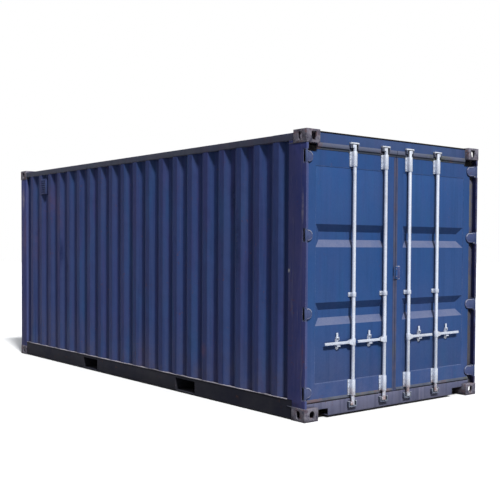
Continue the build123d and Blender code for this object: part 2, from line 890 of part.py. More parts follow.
with BuildPart() as hinge_lugs:
    lug_offset = hinge_blade_height / 2 + hinge_lug_gap
    for hinge_z in hinge_heights:
        for lug_low in (hinge_z - lug_offset - hinge_lug_thickness, hinge_z + lug_offset):
            with BuildSketch(Plane.XY.offset(lug_low)):
                with BuildLine():
                    Polyline(
                        corner_point(hinge_axis_inset, hinge_axis_inset - hinge_eye_radius),
                        corner_point(hinge_axis_inset - hinge_eye_radius, hinge_axis_inset),
                        corner_point(web_inner, hinge_notch_depth),
                        corner_point(web_inner, post_channel_front),
                        corner_point(hinge_lug_foot, post_channel_front),
                        corner_point(hinge_axis_inset + hinge_eye_radius, hinge_axis_inset),
                        close=True,
                    )
                make_face()
                with Locations(corner_point(hinge_axis_inset, hinge_axis_inset)):
                    small_round(hinge_eye_radius)
            extrude(amount=hinge_lug_thickness)
        with BuildSketch(Plane.XY.offset(hinge_z - lug_offset)):
            with Locations(corner_point(hinge_axis_inset, hinge_axis_inset)):
                small_round(hinge_pin_radius)
        extrude(amount=2 * lug_offset)
    mirror(about=Plane.XZ)


# Lock rods: each with a cam at both ends and the handle hub, then their guides and keepers
def lock_rod(rod_offset):
    """A lock rod of the left door, with its cams and its handle hub facing the hinges."""
    rod_y = -rod_offset
    hub_low = handle_height_z - hub_height / 2
    ear_inner = handle_bar_thickness / 2 + hub_ear_gap
    with BuildPart() as rod:
        with BuildSketch(Plane.XY.offset(rod_bottom)):
            with Locations((rod_x, rod_y)):
                Circle(rod_radius)
        extrude(amount=rod_top - rod_bottom)
        for cam_low in (rod_bottom, rod_top - cam_height):
            with BuildSketch(Plane.XY.offset(cam_low)):
                with BuildLine():
                    Polyline(
                        (rod_x - rod_radius, rod_y),
                        (rod_x - cam_nose_half_width, rod_y - cam_reach),
                        (rod_x + cam_nose_half_width, rod_y - cam_reach),
                        (rod_x + rod_radius, rod_y),
                        close=True,
                    )
                make_face()
            extrude(amount=cam_height)
        with BuildSketch(Plane.XY.offset(hub_low)):
            with Locations((rod_x, rod_y)):
                small_round(hub_radius)
        extrude(amount=hub_height)
        for ear_x in (rod_x - ear_inner - hub_ear_thickness, rod_x + ear_inner):
            with BuildSketch(Plane.YZ.offset(ear_x)):
                with BuildLine():
                    Polyline(
                        (rod_y, hub_low),
                        (rod_y, hub_low + hub_height),
                        (rod_y - hub_ear_reach, handle_height_z + hub_ear_tip_height / 2),
                        (rod_y - hub_ear_reach, handle_height_z - hub_ear_tip_height / 2),
                        close=True,
                    )
                make_face()
            extrude(amount=hub_ear_thickness)
        with BuildSketch(Plane.YZ.offset(rod_x - ear_inner)):
            with Locations((rod_y - handle_pin_offset, handle_height_z)):
                small_round(handle_pin_radius)
        extrude(amount=2 * ear_inner)
    return rod


def door_handle(rod_offset):
    """The flat bar handle of a left door rod, hung on the hub's pin."""
    pin_y = -rod_offset - handle_pin_offset
    tip_y = -rod_offset - handle_length
    with BuildPart() as handle:
        with BuildSketch(Plane.YZ.offset(rod_x - handle_bar_thickness / 2)):
            with Locations((pin_y, handle_height_z)):
                small_round(handle_bar_height / 2)
            with Locations(((pin_y + tip_y) / 2, handle_height_z)):
                Rectangle(pin_y - tip_y, handle_bar_height)
            with Locations((pin_y, handle_height_z)):
                small_bore(handle_pin_radius + handle_pin_clearance)
        extrude(amount=handle_bar_thickness)
    return handle


def handle_catch(rod_offset):
    """The catch that turns down over the handle, at rest upright against the door."""
    catch_y = -rod_offset - retainer_offset
    with BuildPart() as catch:
        with BuildSketch(Plane.XZ.offset(-catch_y - catch_width / 2)):
            with Locations((catch_x, catch_pin_height)):
                small_round(catch_knuckle_radius)
            with Locations((catch_x - catch_thickness / 2, catch_pin_height + catch_length / 2)):
                Rectangle(catch_thickness, catch_length)
            with Locations((catch_x, catch_pin_height)):
                small_bore(catch_pin_radius + catch_pin_clearance)
        extrude(amount=catch_width)
    return catch


with BuildPart() as left_handle_retainers:
    shelf_top = handle_height_z - handle_bar_height / 2 - retainer_shelf_gap
    base_low = handle_height_z - retainer_base_drop + retainer_base_width / 2
    base_high = handle_height_z + retainer_base_rise
    ear_shift = catch_width / 2 + catch_side_gap + catch_ear_thickness / 2
    retainer_ear_low = catch_pin_height + catch_knuckle_radius - retainer_ear_height
    for rod_offset in rod_offsets.values():
        retainer_y = -rod_offset - retainer_offset
        with BuildSketch(Plane.YZ.offset(panel_face)):
            with Locations((retainer_y, base_low)):
                small_round(retainer_base_width / 2)
            with Locations((retainer_y, (base_low + base_high) / 2)):
                Rectangle(retainer_base_width, base_high - base_low)
        extrude(amount=retainer_base_thickness)
        with BuildSketch(Plane.YZ.offset(panel_face)):
            with Locations((retainer_y, shelf_top - retainer_shelf_thickness / 2)):
                Rectangle(retainer_base_width, retainer_shelf_thickness)
        extrude(amount=retainer_shelf_reach)
        with BuildSketch(Plane.YZ.offset(panel_face)):
            with Locations((retainer_y, retainer_ear_low + retainer_ear_height / 2)):
                with GridLocations(2 * ear_shift, 0, 2, 1):
                    Rectangle(catch_ear_thickness, retainer_ear_height)
        extrude(amount=catch_x - panel_face + catch_knuckle_radius)
        with BuildSketch(Plane.XZ.offset(-retainer_y - ear_shift)):
            with Locations((catch_x, catch_pin_height)):
                small_round(catch_pin_radius)
        extrude(amount=2 * ear_shift)
right_handle_retainers = mirrored(left_handle_retainers)

with BuildPart() as left_rod_guides:
    guide_bore = rod_radius + guide_clearance
    middle_low = leaf_bottom + guide_middle_share * leaf_height - guide_middle_height / 2
    for guide_low, guide_height, seat in (
        (leaf_bottom + guide_low_margin, guide_low_height, leaf_face),
        (middle_low, guide_middle_height, panel_face),
        (leaf_top - guide_high_margin - guide_high_height, guide_high_height, leaf_face),
    ):
        with BuildSketch(Plane.XY.offset(guide_low)):
            for rod_offset in rod_offsets.values():
                with Locations((seat + guide_base_thickness / 2, -rod_offset)):
                    Rectangle(guide_base_thickness, guide_base_width)
                with Locations(((seat + rod_x) / 2, -rod_offset)):
                    Rectangle(rod_x - seat, 2 * (guide_bore + guide_wall))
                with Locations((rod_x, -rod_offset)):
                    small_round(guide_bore + guide_wall)
                    small_bore(guide_bore)
        extrude(amount=guide_height)
right_rod_guides = mirrored(left_rod_guides)

with BuildPart() as cam_keepers:
    keeper_width = 2 * (keeper_half_opening + keeper_wall)
    for bracket_low, opening_low in (
        (rod_top + keeper_gap + keeper_wall - keeper_height, rod_top + keeper_gap - keeper_height),
        (rod_bottom - keeper_gap - keeper_wall, rod_bottom - keeper_gap),
    ):
        with BuildSketch(Plane.YZ.offset(header_face)):
            for rod_offset in rod_offsets.values():
                with Locations((-rod_offset, bracket_low + keeper_height / 2)):
                    Rectangle(keeper_width, keeper_height)
                with Locations((-rod_offset, opening_low + keeper_height / 2)):
                    Rectangle(2 * keeper_half_opening, keeper_height, mode=Mode.SUBTRACT)
        extrude(amount=keeper_depth)
    mirror(about=Plane.XZ)

pieces = {
    "top_door_castings": top_door_castings,
    "top_front_castings": top_front_castings,
    "bottom_corner_castings": bottom_corner_castings,
    "left_door_post": left_door_post,
    "right_door_post": right_door_post,
    "front_posts": front_posts,
    "top_side_rails": top_side_rails,
    "bottom_side_rails": bottom_side_rails,
    "fork_pocket_tops": fork_pocket_tops,
    "fork_pocket_sides": fork_pocket_sides,
    "fork_pocket_straps": fork_pocket_straps,
    "door_header": door_header,
    "door_sill": door_sill,
    "front_top_rail": front_top_rail,
    "front_bottom_rail": front_bottom_rail,
    "left_side_wall": left_side_wall,
    "right_side_wall": right_side_wall,
    "front_wall": front_wall,
    "roof_panel": roof_panel,
    "roof_end_plates": roof_end_plates,
    "roof_corner_plates": roof_corner_plates,
    "floor_boards": floor_boards,
    "cross_members": cross_members,
    "vents": vents,
    "cam_keepers": cam_keepers,
    "hinge_lugs": hinge_lugs,
    "left_door_frame": left_door_frame,
    "left_door_panel": left_door_panel,
    "left_door_gasket": left_door_gasket,
    "left_hinge_blades": left_hinge_blades,
    "left_rod_guides": left_rod_guides,
    "left_handle_retainers": left_handle_retainers,
    "right_door_frame": right_door_frame,
    "right_door_panel": right_door_panel,
    "right_door_gasket": right_door_gasket,
    "right_hinge_blades": right_hinge_blades,
    "right_rod_guides": right_rod_guides,
    "right_handle_retainers": right_handle_retainers,
    "overlap_plate": overlap_plate,
}
for place, offset in rod_offsets.items():
    left_pieces = {
        "rod": lock_rod(offset),
        "handle": door_handle(offset),
        "catch": handle_catch(offset),
    }
    for kind, piece in left_pieces.items():
        pieces[f"left_{place}_{kind}"] = piece
        pieces[f"right_{place}_{kind}"] = mirrored(piece)

for node_name, piece in pieces.items():
    piece.part.label = node_name
    export_step(piece.part, f"parts/{node_name}.step")
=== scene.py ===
"""Looks of the shipping container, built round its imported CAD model.

Lengths are in metres in the CAD's frame: +X towards the doors, +Z up, the origin on the ground.
Left is -Y, the long side that the photo shows.
"""

import json
import math
import random

import bmesh
import bpy
from mathutils import Matrix, Vector


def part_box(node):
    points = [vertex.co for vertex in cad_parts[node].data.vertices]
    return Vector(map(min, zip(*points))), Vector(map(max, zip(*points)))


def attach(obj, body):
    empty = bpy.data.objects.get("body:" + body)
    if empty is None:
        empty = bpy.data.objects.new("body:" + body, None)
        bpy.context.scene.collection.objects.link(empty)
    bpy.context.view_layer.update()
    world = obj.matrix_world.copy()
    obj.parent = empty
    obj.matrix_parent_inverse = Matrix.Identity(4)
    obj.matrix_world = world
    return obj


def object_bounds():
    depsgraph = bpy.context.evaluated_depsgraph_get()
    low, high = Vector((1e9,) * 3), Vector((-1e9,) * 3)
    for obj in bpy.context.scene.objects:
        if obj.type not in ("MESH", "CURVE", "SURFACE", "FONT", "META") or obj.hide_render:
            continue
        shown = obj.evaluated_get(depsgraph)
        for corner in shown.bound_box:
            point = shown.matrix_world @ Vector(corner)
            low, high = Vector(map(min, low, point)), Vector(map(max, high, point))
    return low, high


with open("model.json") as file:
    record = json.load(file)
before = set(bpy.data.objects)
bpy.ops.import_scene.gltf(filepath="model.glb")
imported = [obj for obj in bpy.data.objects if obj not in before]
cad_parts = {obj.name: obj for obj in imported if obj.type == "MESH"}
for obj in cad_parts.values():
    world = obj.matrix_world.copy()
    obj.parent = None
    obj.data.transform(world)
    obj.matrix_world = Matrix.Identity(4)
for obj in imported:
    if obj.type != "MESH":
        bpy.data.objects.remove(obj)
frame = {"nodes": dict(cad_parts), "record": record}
cad_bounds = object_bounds()
scene = bpy.context.scene
random.seed(20)

# Camera, fitted to the photo's corners
CAMERA_PLACE = Vector((8.5283, -6.1820, 1.5670))
CAMERA_HEADING = 2.45316
CAMERA_PITCH = -0.030992
CAMERA_ROLL = 0.0059797
CAMERA_LENS = 60.92
CAMERA_SENSOR = 36
CAMERA_SHIFT = (-0.0339, 0.0426)
CAMERA_REACH = 200

# Light
SUN_DIRECTION = Vector((0.61, -0.18, 0.77))
SUN_STRENGTH = 3.75
SUN_ANGLE = math.radians(7)
SKY_COLOUR = (0.93, 0.96, 1.0)
SKY_STRENGTH = 0.15
BACK_SKY_DIRECTION = Vector((-0.35, 0.88, 0.32))
BACK_SKY_STRENGTH = 1.0
BACK_SKY_SPREAD = (0.1, 0.9)
FLOOR_HALF_WIDTH = 60
FLOOR_PALE = (0.955, 0.97)
FLOOR_GLOW = (0.14, 0.14, 0.145)

# Finishes, as linear colours: the main colour, then its faded or dusty variant
SIDE_BLUE = ((0.038, 0.070, 0.228), (0.078, 0.090, 0.200))
POST_BLUE = ((0.040, 0.053, 0.195), (0.085, 0.080, 0.205))
RAIL_BLUE = ((0.068, 0.075, 0.125), (0.130, 0.137, 0.170))
HEADER_BLUE = ((0.050, 0.092, 0.228), (0.085, 0.122, 0.245))
SILL_BLUE = ((0.098, 0.108, 0.190), (0.200, 0.200, 0.285))
HINGE_BLUE = ((0.060, 0.088, 0.215), (0.125, 0.148, 0.270))
# A light paint that gives a painted highlight on the upper hinge ribs and the plate welds
RIB_HIGHLIGHT_BLUE = ((0.250, 0.290, 0.440), (0.480, 0.510, 0.610))
DOOR_BLUE = ((0.030, 0.088, 0.260), (0.067, 0.105, 0.248))
CASTING_GREY = ((0.102, 0.098, 0.135), (0.255, 0.240, 0.290))
UNDERFRAME_BLACK = ((0.020, 0.021, 0.034), (0.038, 0.038, 0.048))
KEEPER_GREY = ((0.060, 0.075, 0.135), (0.200, 0.230, 0.300))
ZINC = ((0.570, 0.620, 0.735), (0.750, 0.790, 0.865))
RUBBER = ((0.072, 0.082, 0.118), (0.122, 0.135, 0.175))
SEAM_RUBBER = ((0.064, 0.078, 0.155), (0.100, 0.108, 0.190))
# Black rubber for the dark sheets that give painted shadow
SHADOW_BLACK_RUBBER = ((0.010, 0.010, 0.012), (0.024, 0.023, 0.022))
PLYWOOD = ((0.280, 0.160, 0.080), (0.400, 0.260, 0.150))
LEDGE_DUST_AND_LIGHT = ((0.220, 0.210, 0.260), (0.500, 0.470, 0.520))

# Single colours: variants of the side walls and posts, then painted light and shade, dust, grime,
# rust and wear
SIDE_FAR = (0.062, 0.074, 0.195)
SIDE_FOOT = (0.120, 0.105, 0.150)
# Painted shade on the corrugations' crowns and grooves, and painted light on their slopes that face
# the doors
CROWN_SHADE_BLUE = (0.036, 0.044, 0.145)
GROOVE_SHADE_BLUE = (0.016, 0.028, 0.130)
LIT_SLOPE_BLUE = (0.052, 0.092, 0.215)
# Forward faces of the posts: faded, and lighter also as painted light
POST_FRONT = (0.075, 0.095, 0.240)
# Painted shadow on the right post's front
RIGHT_POST_FRONT = (0.036, 0.026, 0.050)
DOOR_DUST_AND_LIGHT = (0.150, 0.175, 0.290)
DOOR_FOOT = (0.140, 0.145, 0.265)
PLATE_BLUE = (0.040, 0.095, 0.240)
# Painted shadow of the overlap plate
PLATE_SHADE = (0.006, 0.010, 0.035)
DEEP_BLUE = (0.012, 0.020, 0.075)
PINK_SCUFF = (0.125, 0.080, 0.160)
WHITE_DOT = (0.750, 0.740, 0.760)
BROWN_GRIME = (0.165, 0.155, 0.145)
PAINT_CORNER_SHADE = (0.018, 0.017, 0.022)
SCRATCHED_CORNER_SHADE = (0.016, 0.015, 0.020)
RUST = (0.160, 0.055, 0.028)
SCRAPE = (0.420, 0.380, 0.430)
BLUE_SCRAPE = (0.260, 0.320, 0.480)
CASTING_SHADE = (0.030, 0.032, 0.060)
CASTING_BLOOM = (0.205, 0.100, 0.100)
CASTING_CORNER_SHADE = (0.016, 0.014, 0.014)
CASTING_BARE = (0.460, 0.450, 0.500)
ZINC_CLOUD = (0.420, 0.420, 0.450)
ZINC_RUST = (0.300, 0.130, 0.085)
ZINC_STAIN = (0.340, 0.200, 0.140)
ZINC_CORNER_SHADE = (0.035, 0.035, 0.042)
KEEPER_STAIN = (0.080, 0.060, 0.070)
KEEPER_CORNER_SHADE = (0.012, 0.014, 0.022)
UPPER_LIP_LIGHT = (0.126, 0.142, 0.218)
UNDER_LIP_SHADE = (0.060, 0.075, 0.105)
OLIVE_GROWTH = (0.105, 0.112, 0.062)
RED_STAIN = (0.155, 0.098, 0.105)
ROAD_DUST_AND_LIGHT = (0.360, 0.340, 0.380)
UNDERFRAME_RUST = (0.090, 0.040, 0.028)
UNDERFRAME_BARE = (0.200, 0.180, 0.210)
LEDGE_SHADE = (0.060, 0.058, 0.075)
FLOOR_SCUFF = (0.070, 0.050, 0.040)

# Where a finish starts and where it is full: along the container, across it or in height
FAR_SIDE = (0.7, -2.7)
# Across the side walls: where the painted shade of the crowns and of the grooves begins and is full
WALL_CROWN = (1.198, 1.211)
WALL_GROOVE = (1.190, 1.178)
SPLASHES = (0.75, 0.18)
ROD_RUST = (0.27, 0.14)
RAIL_TOP = (0.160, 0.172)

# Height of the lower edge of the door gasket's upper lip
GASKET_UPPER_LIP = 2.447

# Marks, read from the photo: place, size, colour and strength
LEFT_MARKS = (
    ((1.45, -1.20, 0.49), (0.09, 0.2, 0.10), PINK_SCUFF, 0.8),
    ((-2.07, -1.20, 2.15), (0.16, 0.2, 0.25), PINK_SCUFF, 0.5),
    ((-1.83, -1.20, 1.95), (0.10, 0.2, 0.35), PINK_SCUFF, 0.45),
    ((-2.55, -1.20, 1.55), (0.14, 0.2, 0.45), PINK_SCUFF, 0.35),
    ((1.93, -1.20, 2.05), (0.07, 0.2, 0.22), DEEP_BLUE, 0.9),
    ((2.02, -1.20, 1.55), (0.09, 0.2, 0.50), DEEP_BLUE, 0.7),
    ((2.27, -1.20, 1.50), (0.07, 0.2, 0.45), DEEP_BLUE, 0.6),
    ((-1.60, -1.20, 1.28), (0.06, 0.2, 0.12), DEEP_BLUE, 0.9),
    ((-1.78, -1.20, 1.45), (0.05, 0.2, 0.22), DEEP_BLUE, 0.7),
)
POST_MARKS = (
    ((2.80, -1.21, 1.34), (0.014, 0.1, 0.022), WHITE_DOT, 1.0),
    ((2.99, -1.22, 0.60), (0.020, 0.1, 0.16), PINK_SCUFF, 0.9),
    ((2.98, -1.22, 1.90), (0.020, 0.1, 0.20), SCRAPE, 0.4),
    ((-2.90, -1.22, 1.70), (0.06, 0.1, 0.35), PINK_SCUFF, 0.6),
    ((-2.95, -1.22, 2.20), (0.05, 0.1, 0.20), SCRAPE, 0.5),
    ((2.963, -1.175, 1.30), (0.020, 0.045, 6.0), BROWN_GRIME, 1.3),
    ((2.963, 1.175, 1.30), (0.020, 0.045, 6.0), BROWN_GRIME, 1.3),
    # Painted shadow on the right post's front
    ((3.025, 1.20, 1.30), (0.020, 0.060, 6.0), RIGHT_POST_FRONT, 0.9),
)
# The dark marks by the overlap plate are its painted shadow, along its left and lower edges
PLATE_MARKS = (
    ((2.975, -0.0100, 1.305), (0.05, 0.016, 0.075), PLATE_BLUE, 1.4),
    ((2.975, -0.0255, 1.305), (0.05, 0.009, 0.085), PLATE_SHADE, 1.4),
    ((2.975, -0.0080, 1.238), (0.05, 0.030, 0.014), PLATE_SHADE, 1.4),
)


class Nodes:
    """A short way to write the node tree of a material or of the world."""

    def __init__(self, name, world=False):
        self.owner = (bpy.data.worlds if world else bpy.data.materials).new(name)
        self.owner.use_nodes = True
        self.tree = self.owner.node_tree
        self.tree.nodes.clear()
        output = "ShaderNodeOutputWorld" if world else "ShaderNodeOutputMaterial"
        self.output = self.new(output).inputs["Surface"]
        self.coordinates = self.new("ShaderNodeTexCoord").outputs
        self.object = self.coordinates["Object"]

    def new(self, kind, **settings):
        node = self.tree.nodes.new(kind)
        for key, value in settings.items():
            setattr(node, key, value)
        return node

    def plug(self, value, socket):
        if isinstance(value, bpy.types.NodeSocket):
            self.tree.links.new(value, socket)
        elif isinstance(value, (tuple, list)) and len(value) == 3 and socket.type == "RGBA":
            socket.default_value = (*value, 1)
        else:
            socket.default_value = value

    def plug_all(self, node, **values):
        """Plug values into a node's inputs, each named with _ for a space."""
        for name, value in values.items():
            self.plug(value, node.inputs[name.replace("_", " ")])

    def noise(self, scale, detail=4, rough=0.55, vector=None, distortion=0):
        node = self.new("ShaderNodeTexNoise")
        self.plug_all(node, Vector=vector or self.object, Scale=scale, Detail=detail)
        self.plug_all(node, Roughness=rough, Distortion=distortion)
        return node.outputs["Fac"]

    def streaks(self, stretch, detail=4, rough=0.6, turn=(0, 0, 0)):
        """Noise stretched by three scales, long where a scale is small."""
        node = self.new("ShaderNodeMapping")
        self.plug_all(node, Vector=self.object, Scale=stretch, Rotation=turn)
        return self.noise(1.0, detail, rough, node.outputs["Vector"])

    def ramp(self, value, low, high, bottom=0.0, top=1.0):
        node = self.new("ShaderNodeMapRange", clamp=True)
        self.plug_all(node, Value=value, From_Min=low, From_Max=high, To_Min=bottom, To_Max=top)
        return node.outputs["Result"]

    def patches(self, noise, low, high, bottom=0.0, top=1.0):
        """Patches of noise, given by its scale and detail and perhaps its roughness."""
        return self.ramp(self.noise(*noise), low, high, bottom, top)

    def math(self, operation, first, second=0.0):
        node = self.new("ShaderNodeMath", operation=operation, use_clamp=False)
        self.plug(first, node.inputs[0])
        self.plug(second, node.inputs[1])
        return node.outputs[0]

    def times(self, first, second):
        return self.math("MULTIPLY", first, second)

    def mix(self, fac, first, second):
        node = self.new("ShaderNodeMix", data_type="RGBA")
        self.plug_all(node, Factor=fac, A=first, B=second)
        return node.outputs["Result"]

    def vector(self, operation, first, second=(0, 0, 0)):
        node = self.new("ShaderNodeVectorMath", operation=operation)
        self.plug(first, node.inputs[0])
        self.plug(second, node.inputs[1])
        return node.outputs

    def edges(self, radius, low=0.02, high=0.25):
        """How much a point lies on an edge: 0 on flat faces, 1 on a sharp edge."""
        bevel = self.new("ShaderNodeBevel", samples=4)
        self.plug(radius, bevel.inputs["Radius"])
        normal = self.new("ShaderNodeNewGeometry").outputs["Normal"]
        same = self.vector("DOT_PRODUCT", bevel.outputs["Normal"], normal)["Value"]
        return self.ramp(self.math("SUBTRACT", 1.0, same), low, high)

    def spot(self, place, size):
        """How much a point lies near a place: 1 in the middle of a patch of a size, 0 outside."""
        away = self.vector("SUBTRACT", self.object, place)["Vector"]
        sizes_away = self.vector("DIVIDE", away, size)["Vector"]
        return self.ramp(self.vector("LENGTH", sizes_away)["Value"], 1.0, 0.25)

    def marked(self, colour, marks):
        """A colour with broken scuffs, stains and painted shadows at named places."""
        for place, size, tone, strength in marks:
            broken = self.patches((11, 5, 0.75), 0.34, 0.58, 0.15, 1.0)
            share = self.times(self.times(self.spot(place, size), broken), strength)
            colour = self.mix(share, colour, tone)
        return colour

    def corners(self, distance):
        """How much a point lies in a corner or under something close."""
        node = self.new("ShaderNodeAmbientOcclusion", samples=4)
        self.plug(distance, node.inputs["Distance"])
        return self.math("SUBTRACT", 1.0, node.outputs["AO"])

    def axis(self, name):
        node = self.new("ShaderNodeSeparateXYZ")
        self.plug(self.object, node.inputs[0])
        return node.outputs[name]

    def facing(self, direction):
        """How much a face looks along a fixed direction of the object."""
        return self.vector("DOT_PRODUCT", self.coordinates["Normal"], direction)["Value"]

    def surface(
        self, colour, roughness, height, bump, distance=0.002, metallic=0.0, specular=0.06
    ):
        relief = self.new("ShaderNodeBump")
        self.plug_all(relief, Strength=bump, Distance=distance, Height=height)
        shader = self.new("ShaderNodeBsdfPrincipled")
        self.plug_all(shader, Base_Color=colour, Roughness=roughness, Metallic=metallic)
        self.plug_all(shader, Specular_IOR_Level=specular, Normal=relief.outputs["Normal"])
        self.plug(shader.outputs[0], self.output)
        return self.owner


def scaled(colour, factor):
    """A colour made brighter or darker."""
    return tuple(min(1, factor * c) for c in colour)


def paint(
    name, colours, fade=0.5, streaks=0.5, chips=0.3, corner_shade=0.5, worn_edges=0.5, dust=None,
    waves=0.4, far=None, foot=None, scrape=SCRAPE, corrugated=False, marks=()
):
    """Old container paint: faded and streaked, with painted shade in corners, worn on edges,
    chipped to rust.
    """
    n = Nodes(name)
    main, faded = colours
    red, green, blue = main
    darker = scaled(main, 0.62)
    clouds = n.noise(0.9, 6, 0.6)
    colour = n.mix(n.ramp(clouds, 0.35, 0.75, 0, fade), main, faded)
    if far is not None:
        colour = n.mix(n.ramp(n.axis("X"), *FAR_SIDE, 0, 0.9), colour, far)
    # On corrugated walls: painted shade on the crowns, deeper painted shade in the grooves, painted
    # light on the slopes that face the doors
    if corrugated:
        level = n.math("ABSOLUTE", n.axis("Y"))
        colour = n.mix(n.ramp(level, *WALL_CROWN, 0, 0.40), colour, CROWN_SHADE_BLUE)
        colour = n.mix(n.ramp(level, *WALL_GROOVE, 0, 0.50), colour, GROOVE_SHADE_BLUE)
        colour = n.mix(n.ramp(n.facing((1, 0, 0)), 0.3, 0.6, 0, 0.55), colour, LIT_SLOPE_BLUE)
    if foot is not None:
        splashed = n.times(n.ramp(n.axis("Z"), *SPLASHES), n.patches((2.3, 5, 0.7), 0.35, 0.7))
        colour = n.mix(n.times(splashed, 0.6), colour, foot)
    warm = n.ramp(n.streaks((7, 7, 0.9), turn=(0, 0, 1.9)), 0.50, 0.68, 0, 0.5 * streaks)
    colour = n.mix(warm, colour, (1.7 * red, 0.7 * green, 0.75 * blue))
    cool = n.ramp(n.streaks((5, 5, 1.3), turn=(0, 0, 4.1)), 0.52, 0.70, 0, 0.6 * streaks)
    colour = n.mix(cool, colour, (0.7 * red, 1.35 * green, 1.05 * blue))
    dark_runs = n.ramp(n.streaks((13, 13, 0.55), 5), 0.52, 0.72, 0, streaks)
    colour = n.mix(dark_runs, colour, darker)
    pale_runs = n.streaks((29, 29, 0.8), 5, 0.62, (0, 0, 0.7))
    colour = n.mix(n.ramp(pale_runs, 0.60, 0.74, 0, 0.35 * streaks), colour, scaled(faded, 1.5))
    if dust is not None:
        # Dust on faces that look up, which also stands in for painted light on them
        up = n.ramp(n.facing((0, 0, 1)), 0.25, 0.45)
        colour = n.mix(n.times(up, n.patches((7, 5, 0.7), 0.2, 0.6, 0.6, 1.0)), colour, dust)
        # Painted shade on faces that look down
        colour = n.mix(n.ramp(n.facing((0, 0, -1)), 0.25, 0.45, 0, 0.35), colour, DEEP_BLUE)
    colour = n.marked(colour, marks)
    colour = n.mix(n.patches((55, 3, 0.7), 0.35, 0.65, 0, 0.16), colour, darker)
    # Painted shade in corners and under close parts
    crevice_shade = n.ramp(n.corners(0.09), 0.25, 0.8)
    colour = n.mix(n.times(crevice_shade, corner_shade), colour, PAINT_CORNER_SHADE)
    chipped = n.times(n.patches((3.1, 5, 0.7), 0.52, 0.66), n.patches((26, 6, 0.75), 0.60, 0.64))
    colour = n.mix(n.times(chipped, chips), colour, RUST)
    edge = n.edges(0.005)
    edge_wear = n.times(edge, n.patches((17, 5, 0.7), 0.40, 0.62))
    colour = n.mix(n.times(edge_wear, worn_edges), colour, scrape)
    edge_rust = n.times(edge, n.patches((9, 4, 0.7), 0.58, 0.68))
    colour = n.mix(n.times(edge_rust, chips), colour, RUST)
    relief = n.math("ADD", n.times(n.noise(240, 2), 0.04), n.times(n.noise(4.5, 2), waves))
    relief = n.math("SUBTRACT", relief, n.times(chipped, 0.04))
    return n.surface(colour, n.ramp(clouds, 0.3, 0.8, 0.5, 0.7), relief, 1.0, 0.012)


def scraped_paint(name, colours, scrape_share, front=None, chips=0.5, marks=()):
    """Paint with long upright scratches, as on posts and on the sill, with painted shade in
    corners.
    """
    n = Nodes(name)
    main, faded = colours
    colour = n.mix(n.patches((1.4, 6, 0.65), 0.35, 0.7), main, faded)
    # Faces that look forward are lighter: faded paint, and also painted light on them
    if front is not None:
        colour = n.mix(n.ramp(n.facing((1, 0, 0)), 0.6, 0.9), colour, front)
    scratches = n.ramp(n.streaks((70, 70, 2.2), turn=(0.02, 0.03, 0.6)), 0.60, 0.68)
    scratched = n.times(scratches, n.patches((1.7, 3), 0.42, 0.62))
    colour = n.mix(n.times(scratched, scrape_share), colour, SCRAPE)
    colour = n.marked(colour, marks)
    dark_runs = n.streaks((18, 18, 0.6), 5)
    colour = n.mix(n.ramp(dark_runs, 0.52, 0.7, 0, 0.5), colour, scaled(main, 0.5))
    # Painted shade in corners
    colour = n.mix(n.ramp(n.corners(0.07), 0.25, 0.8, 0, 0.7), colour, SCRATCHED_CORNER_SHADE)
    spots = n.times(n.patches((34, 5, 0.7), 0.61, 0.66), n.patches((2.7, 3), 0.5, 0.6))
    colour = n.mix(n.times(spots, chips), colour, RUST)
    edge_wear = n.times(n.edges(0.006), n.patches((8, 5, 0.7), 0.42, 0.6, 0, 0.75))
    colour = n.mix(edge_wear, colour, SCRAPE)
    relief = n.math("ADD", n.times(n.noise(200, 2), 0.3), n.times(scratched, -0.5))
    return n.surface(colour, n.ramp(dark_runs, 0.4, 0.7, 0.62, 0.48), relief, 0.25)


def casting_finish(name):
    """Cast steel with thin worn paint, rust blooms, bare rubbed edges and painted shade in corners.
    """
    n = Nodes(name)
    colour = n.mix(n.patches((9, 6, 0.7), 0.36, 0.62), *CASTING_GREY)
    shade = n.ramp(n.noise(15, 6, 0.75, distortion=1.0), 0.52, 0.60, 0, 0.8)
    colour = n.mix(shade, colour, CASTING_SHADE)
    blooms = n.patches((19, 6, 0.7), 0.50, 0.62)
    side_share = n.ramp(n.facing((1, 0, 0)), 0.3, 0.8, 0.75, 0.25)
    colour = n.mix(n.times(blooms, side_share), colour, CASTING_BLOOM)
    # Painted shade in corners
    colour = n.mix(n.ramp(n.corners(0.06), 0.2, 0.75, 0, 0.85), colour, CASTING_CORNER_SHADE)
    edge_wear = n.times(n.edges(0.008, 0.01, 0.2), n.patches((24, 4), 0.35, 0.6, 0, 0.85))
    colour = n.mix(edge_wear, colour, CASTING_BARE)
    relief = n.math("ADD", n.noise(120, 5, 0.7), n.times(blooms, -0.6))
    return n.surface(colour, n.ramp(blooms, 0, 1, 0.5, 0.85), relief, 0.5)


